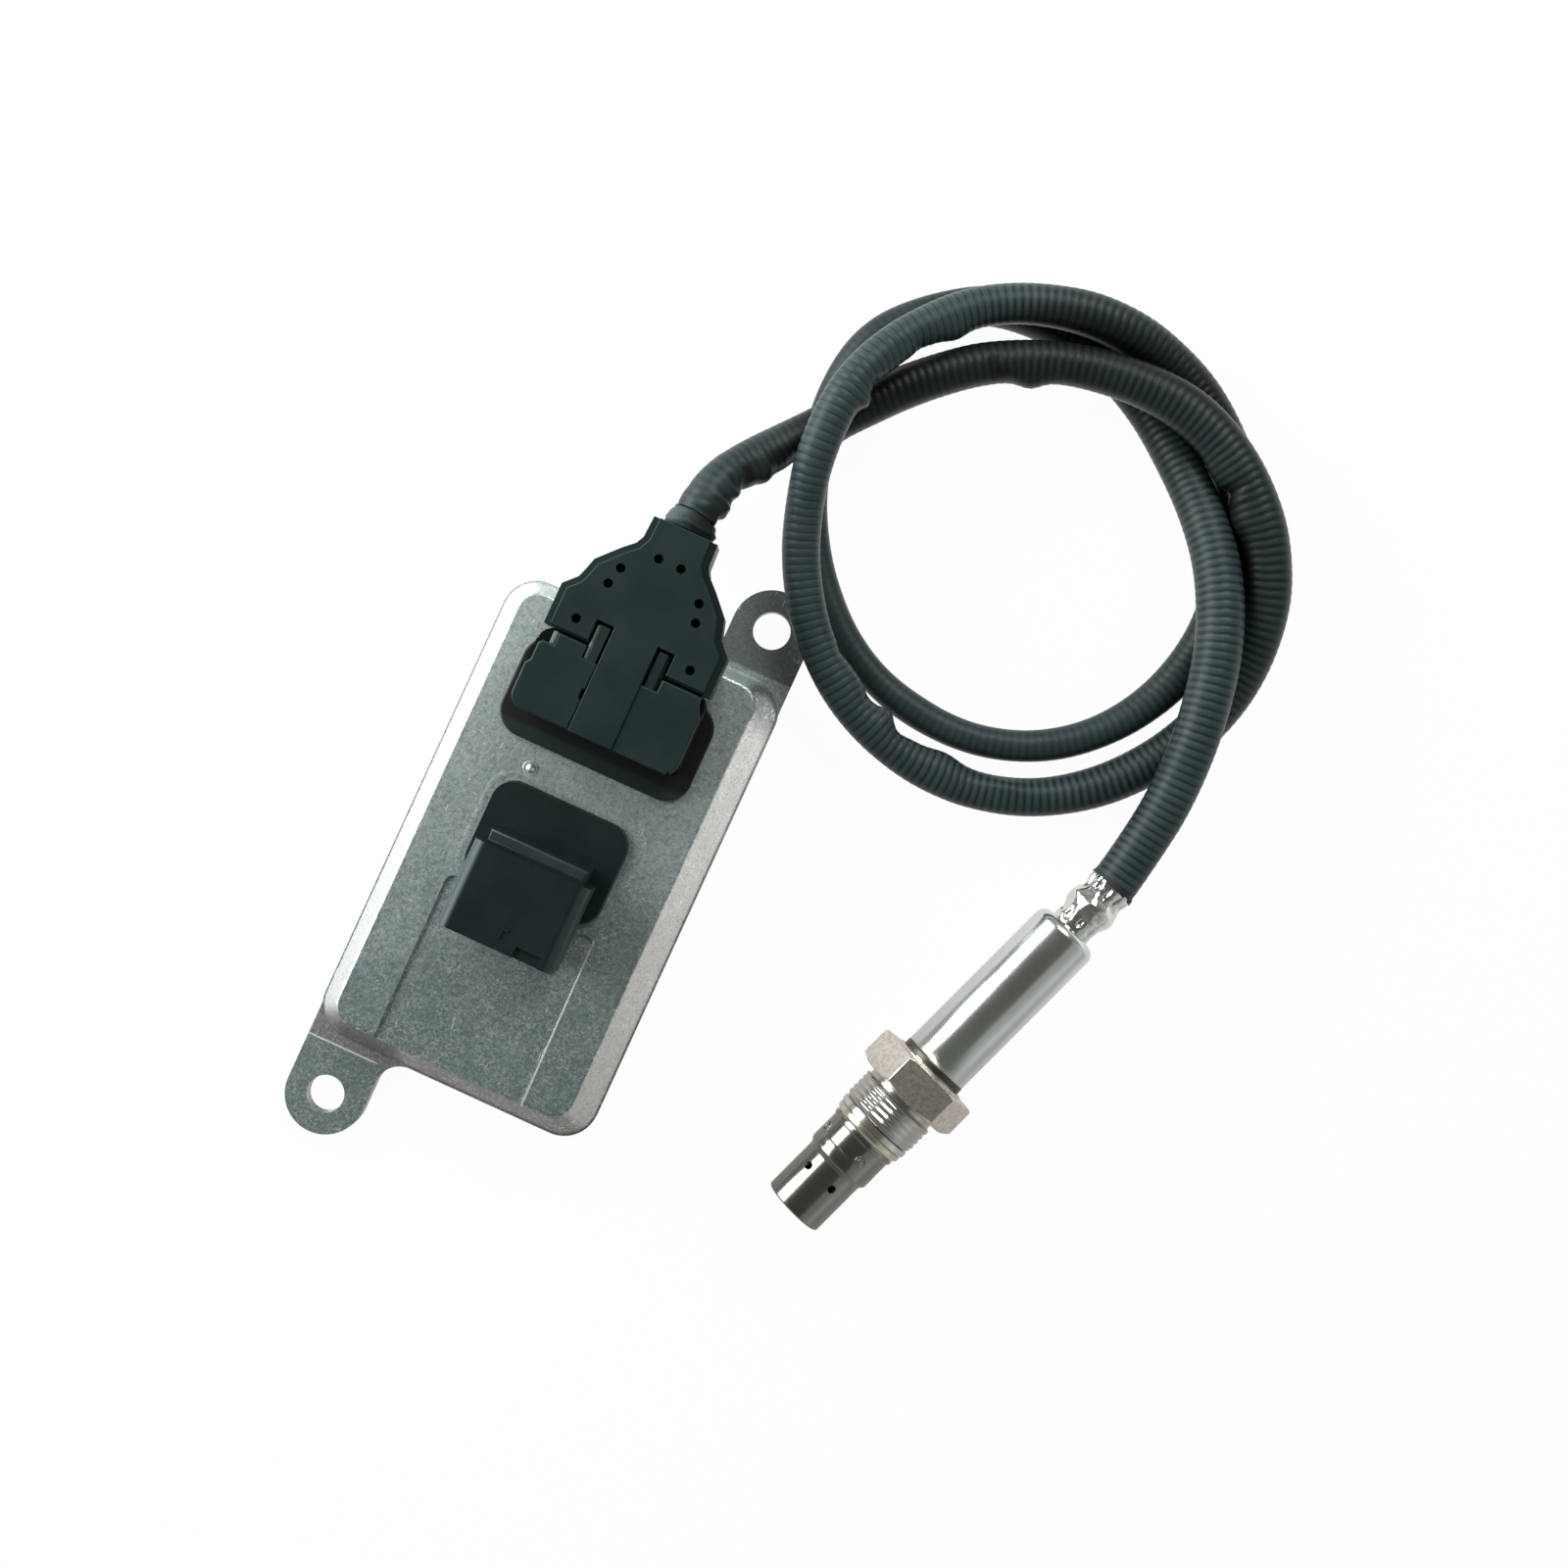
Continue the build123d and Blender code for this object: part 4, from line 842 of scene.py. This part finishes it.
# %% [markdown]
# ## Casing details
# A low ridge frames the harness socket's flange, and the vent is closed by a small steel ball that sits in a
# shallow ring.

# %% Ridge round the flange, and the vent ball
case_top = 18.0
flange_middle_y = 3.2
flange_corner = 6.0
vent_x, vent_y = -11.4, 19.2
ridge_bm = bmesh.new()
ridge_line = []
for cx, cy, start in ((12.3, 10.9, 0), (-12.3, 10.9, 90), (-12.3, -4.5, 180), (12.3, -4.5, 270)):
    ridge_line += arc_points(cx, cy, flange_corner, start, start + 90, 8)
rings = []
for x, y in ridge_line:
    away = Vector((x, y - flange_middle_y)).normalized()
    ring = []
    for step, rise in ((-0.9, 0.0), (-0.3, 0.05), (0.3, 0.05), (0.9, 0.0)):
        spot = Vector((x + away.x * step, y + away.y * step, case_top + rise))
        ring.append(ridge_bm.verts.new(spot * MM))
    rings.append(ring)
for before, after in zip(rings, rings[1:] + rings[:1]):
    for k in range(len(before) - 1):
        ridge_bm.faces.new((before[k], before[k + 1], after[k + 1], after[k]))
finished("flange_ridge", ridge_bm, cast_metal, sharp=0)

ball_bm = bmesh.new()
bmesh.ops.create_uvsphere(ball_bm, u_segments=32, v_segments=16, radius=1.20 * MM)
bmesh.ops.translate(ball_bm, verts=ball_bm.verts, vec=Vector((vent_x, vent_y, case_top - 0.25)) * MM)
finished("vent_ball", ball_bm, vent_white, sharp=0, stands_for=("vent_plug",))
seat_bm = bmesh.new()
seat_profile = ((1.2, 0.0), (1.4, 0.10), (1.6, 0.10), (1.9, 0.0))
seat = [seat_bm.verts.new((r * MM, 0, (case_top + rise) * MM)) for r, rise in seat_profile]
seat_edges = [seat_bm.edges.new(pair) for pair in zip(seat, seat[1:])]
bmesh.ops.spin(seat_bm, geom=seat + seat_edges, cent=(0, 0, 0), axis=(0, 0, 1), angle=math.tau, steps=40,
               use_merge=True)
bmesh.ops.translate(seat_bm, verts=seat_bm.verts, vec=Vector((vent_x, vent_y, 0)) * MM)
finished("vent_seat", seat_bm, cast_metal, sharp=0)

# %% [markdown]
# ## The plug's body
# The body's top is two separate panels with the cover's tongue between them. Each has rounded edges, the left
# one steps in near the cover, and small notches show where the mould parted. The solid's own mesh is cut off
# below the panels, so that they can have these edges, and what is left under them is painted in shadow black.
# A latch bar runs on each side of the cover, with a post beyond it, and thin pale strips on the left ones are a
# painted highlight, where the left lamp lights them.

# %% Panels, latch bars and posts
cut_height = 34.0
body_bm = copied("plug_body")
cut_off(body_bm, Vector((0, 0, cut_height)) * MM, Vector((0, 0, 1)))
finished("plug_body_lower", body_bm, shadow_black, sharp=30, turn_out=False,
         stands_for=("plug_body",))

left_panel = [(-5.4, 31.0)] + list(reversed(arc_points(-16.8, 34.4, 3.4, 180, 270, 6))) + [
    (-20.2, 41.0), (-19.35, 42.0), (-19.35, 46.1), (-18.5, 47.0), (-15.9, 47.0), (-15.9, 49.95), (-9.1, 49.95),
    (-9.1, 47.0), (-5.4, 47.0), (-5.4, 40.9), (-6.1, 40.6), (-6.1, 38.6), (-5.4, 38.3)]
right_panel = [
    (5.15, 31.0), (18.1, 31.0), (18.6, 31.9), (19.3, 31.6), (20.0, 33.0), (20.2, 34.4), (20.2, 44.6), (19.95, 46.0),
    (19.3, 47.2), (18.8, 48.2), (18.6, 49.95), (9.1, 49.95), (9.1, 47.0), (5.15, 47.0)]
panel_bm = bmesh.new()
for outline in (left_panel, right_panel):
    slab(panel_bm, outline, cut_height - 0.1, 35.62, edge=0.4, segments=3)
finished("plug_panels", panel_bm, plug_black, sharp=40)

bar_start, bar_end = 46.9, 55.4
post_middle = 16.6
bar_bm = bmesh.new()
for side in (-1, 1):
    inner, middle, outer = side * 5.95, side * 8.05, side * 8.85
    profile = [(inner, 33.0), (inner, 35.2), (middle, 35.2), (outer, 34.3), (outer, 33.0)]
    ends = [[bar_bm.verts.new((x * MM, y * MM, z * MM)) for x, z in profile] for y in (bar_start, bar_end)]
    bar_bm.faces.new(ends[0])
    bar_bm.faces.new(ends[1])
    for k in range(len(profile)):
        nxt = (k + 1) % len(profile)
        bar_bm.faces.new((ends[0][k], ends[0][nxt], ends[1][nxt], ends[1][k]))
rounded(bar_bm, list(bar_bm.edges), 0.10)
for side in (-1, 1):
    post = box_outline(side * post_middle - 0.55, side * post_middle + 0.55, bar_start, 50.0)
    slab(bar_bm, post, 32.4, 34.9, edge=0.2)
finished("latch_bars", bar_bm, plug_black, sharp=40)
# Painted highlight: pale strips on the left post and the left latch bar, where the left lamp lights them
highlight_bm = bmesh.new()
slab(highlight_bm, box_outline(-17.1, -16.0, 46.95, 49.95), 33.0, 35.45, edge=0.25)
slab(highlight_bm, box_outline(-8.9, -8.2, 47.05, 55.2), 33.0, 34.95, edge=0.2)
finished("painted_highlight_strips", highlight_bm, highlight_grey, sharp=50)

# %% [markdown]
# ## The harness socket's details
# A fine seam runs along the middle of the socket's top, where the two halves of the mould met, and a bar with
# rounded edges crosses the flange behind it.

# %% Seam and ridge bar
seam_bm = bmesh.new()
slab(seam_bm, box_outline(-0.09, 0.09, -17.6, 0.9), 36.85, 36.96)
finished("socket_seam", seam_bm, plug_black, sharp=40)
bar_top = bmesh.new()
slab(bar_top, box_outline(-11.7, 11.7, 1.55, 4.45), 33.6, 34.62, edge=0.55, segments=3)
finished("socket_bar", bar_top, bar_black, sharp=50)

# %% [markdown]
# ## Turned pieces of the probe
# Each of these is a half profile that is spun about the probe's axis. A wobble can then push the skin in or
# out, depending on where it is: a screw thread and the crimps of the ferrule are both made that way.


# %% Helpers for turned pieces
def lay_on_probe(own, bm):
    # Moves a shape made about the Z axis to the probe, and adds it to a piece
    bmesh.ops.transform(own, matrix=probe_place, verts=own.verts)
    bmesh.ops.recalc_face_normals(own, faces=own.faces)
    part = bpy.data.meshes.new("part")
    own.to_mesh(part)
    own.free()
    bm.from_mesh(part)
    bpy.data.meshes.remove(part)


def turned(bm, profile, around, wobble=None):
    # Spins a profile of (radius, distance from the tip) in millimetres, and lays it on the probe
    own = bmesh.new()
    verts = [own.verts.new((r * MM, 0, v * MM)) for r, v in profile]
    edges = [own.edges.new(pair) for pair in zip(verts, verts[1:] + verts[:1])]
    bmesh.ops.spin(own, geom=verts + edges, cent=(0, 0, 0), axis=(0, 0, 1), angle=math.tau, steps=around,
                   use_merge=True)
    if wobble:
        for vert in own.verts:
            radius = math.hypot(vert.co.x, vert.co.y)
            angle = math.atan2(vert.co.y, vert.co.x)
            changed = wobble(radius / MM, vert.co.z / MM, angle) * MM
            vert.co.x *= changed / radius
            vert.co.y *= changed / radius
    lay_on_probe(own, bm)


def eased(value, low, high):
    # 0 below the low value and 1 above the high one, with a soft step between
    part = max(0.0, min(1.0, (value - low) / (high - low)))
    return part * part * (3 - 2 * part)


# %% Nut with its threaded shank
hex_foot = 36.55
thread_pitch = 1.5
thread_depth = 0.44
root_radius = 8.5
nut_bm = copied("union_nut")
cut_off(nut_bm, probe_tip + probe_ahead * hex_foot * MM, -probe_ahead)
bmesh.ops.dissolve_limit(nut_bm, angle_limit=math.radians(1.5), verts=nut_bm.verts, edges=nut_bm.edges)
corners = [e for e in nut_bm.edges if len(e.link_faces) == 2 and e.calc_face_angle(0) > math.radians(28)]
rounded(nut_bm, corners, 0.14)
for v in nut_bm.verts:
    v.co.z = max(v.co.z, 0.0)
finished("nut_head", nut_bm, nut_steel, sharp=30, turn_out=False, stands_for=("union_nut",))


def thread(radius, along, angle):
    # A screw thread that runs out at both ends of the shank
    if radius < root_radius:
        return radius
    tooth = (along / thread_pitch - angle / math.tau) % 1.0
    height = abs(tooth - 0.5) * 2
    depth = thread_depth * eased(along, 27.7, 28.7) * (1 - eased(along, 34.0, 34.9))
    return radius - depth * (0.15 + 0.85 * height) ** 1.1


shank_bm = bmesh.new()
threaded = [(10.0, 28.6 + 0.125 * k) for k in range(50)]
shank = ([(7.7, 27.6), (8.9, 27.6), (9.4, 28.0), (9.7, 28.3)] + threaded
         + [(9.5, 34.95), (9.2, 35.2), (9.15, 36.0), (9.4, 36.6), (7.7, 36.6)])
turned(shank_bm, shank, 144, wobble=thread)
finished("nut_thread", shank_bm, thread_steel, sharp=50)

# %% Dark neck between the nut and the sleeve
neck_bm = bmesh.new()
turned(neck_bm, [(7.7, 45.8), (8.44, 45.8), (8.5, 46.0), (8.42, 46.5), (8.5, 46.9), (8.3, 47.3), (7.7, 47.3)], 72)
finished("nut_neck", neck_bm, dark_neck_steel, sharp=50)

# %% Sleeve with its rounded shoulder
sleeve_bm = bmesh.new()
shoulder = arc_points(5.75, 88.8, 2.6, 0, 90, 12)
sleeve_profile = [(7.75, 47.3), (8.2, 47.3), (8.35, 47.5)] + shoulder + [(5.4, 91.4), (5.4, 90.8), (7.75, 88.4)]
turned(sleeve_bm, sleeve_profile, 96)
finished("sleeve_skin", sleeve_bm, drawn_steel, sharp=40, stands_for=("probe_sleeve",))


# %% Ferrule with its crimps
bore_radius = 4.9
crimp_depth = 0.50
crimp_width = 1.5
near_crimps, near_count = 93.9, 9
far_crimps, far_count = 103.2, 12


def crimps(radius, along, angle):
    # Two rows of pinches round the ferrule, and dents all over it
    if radius < bore_radius:
        return radius
    near = math.exp(-((along - near_crimps) / crimp_width) ** 2)
    far = math.exp(-((along - far_crimps) / crimp_width) ** 2)
    pinch = (0.5 + 0.5 * math.cos(near_count * angle)) ** 3 * near
    pinch += (0.5 + 0.5 * math.cos(far_count * angle + 1.0)) ** 3 * far
    spot = Vector((math.cos(angle) * 2.6, math.sin(angle) * 2.6, along * 0.55))
    dents = noise.noise(spot * 0.8) * 0.42 + noise.noise(spot * 2.0) * 0.07
    return radius - crimp_depth * pinch + dents * eased(along, 91.6, 93.0)


ferrule_bm = bmesh.new()
ferrule_start, ferrule_length = 91.2, 14.2
ferrule_line = []
ferrule_steps = 60
for k in range(ferrule_steps + 1):
    at = ferrule_start + ferrule_length * k / ferrule_steps
    ferrule_radius = 5.15 + 1.15 * math.exp(-((at - 98.5) / 2.3) ** 2) + 0.55 * eased(at, 102.0, 104.6)
    ferrule_line.append((ferrule_radius, at))
ferrule_profile = ferrule_line + [(4.9, 105.4), (4.8, 105.0), (4.7, ferrule_start)]
turned(ferrule_bm, ferrule_profile, 132, wobble=crimps)
finished("ferrule_skin", ferrule_bm, bright_steel, sharp=60, stands_for=("crimp_ferrule",))

# %% Black rim under the hose's end
rim_bm = bmesh.new()
turned(rim_bm, [(5.0, 104.9), (5.75, 104.9), (5.85, 105.2), (5.7, 106.2), (5.0, 106.2)], 64)
finished("hose_rim", rim_bm, soft_black, sharp=40)

# %% Lap of the guard, and its weld marks
lap_bm = bmesh.new()
turned(lap_bm, [(7.5, 14.6), (7.9, 14.62), (8.2, 14.8), (8.38, 15.1), (8.43, 15.5), (8.43, 18.2), (8.3, 18.4),
                (7.5, 18.4)], 96)
finished("guard_lap", lap_bm, guard_steel, sharp=50)

# Each weld is a pair of thin rings, one in the other, bent round the guard
guard_radius = 8.4
weld_at = 19.4
weld_bm = bmesh.new()
for weld_turn in (-73, 17, 107, 197):
    for ring_radius, thick in ((1.25, 0.20), (0.55, 0.22)):
        own = bmesh.new()
        bmesh.ops.create_circle(own, segments=10, radius=thick * MM, cap_ends=False)
        bmesh.ops.rotate(own, verts=own.verts, cent=(0, 0, 0), matrix=Matrix.Rotation(math.radians(90), 3, "X"))
        bmesh.ops.translate(own, verts=own.verts, vec=(ring_radius * MM, 0, 0))
        bmesh.ops.spin(own, geom=list(own.verts) + list(own.edges), cent=(0, 0, 0), axis=(0, 0, 1),
                       angle=math.tau, steps=28, use_merge=True)
        for vert in own.verts:
            angle = math.radians(weld_turn) + vert.co.x / (guard_radius * MM)
            out = (guard_radius - 0.04) * MM + vert.co.z * 0.7
            vert.co = (out * math.cos(angle), out * math.sin(angle), weld_at * MM + vert.co.y)
        lay_on_probe(own, weld_bm)
finished("weld_marks", weld_bm, guard_steel, sharp=0, turn_out=False)
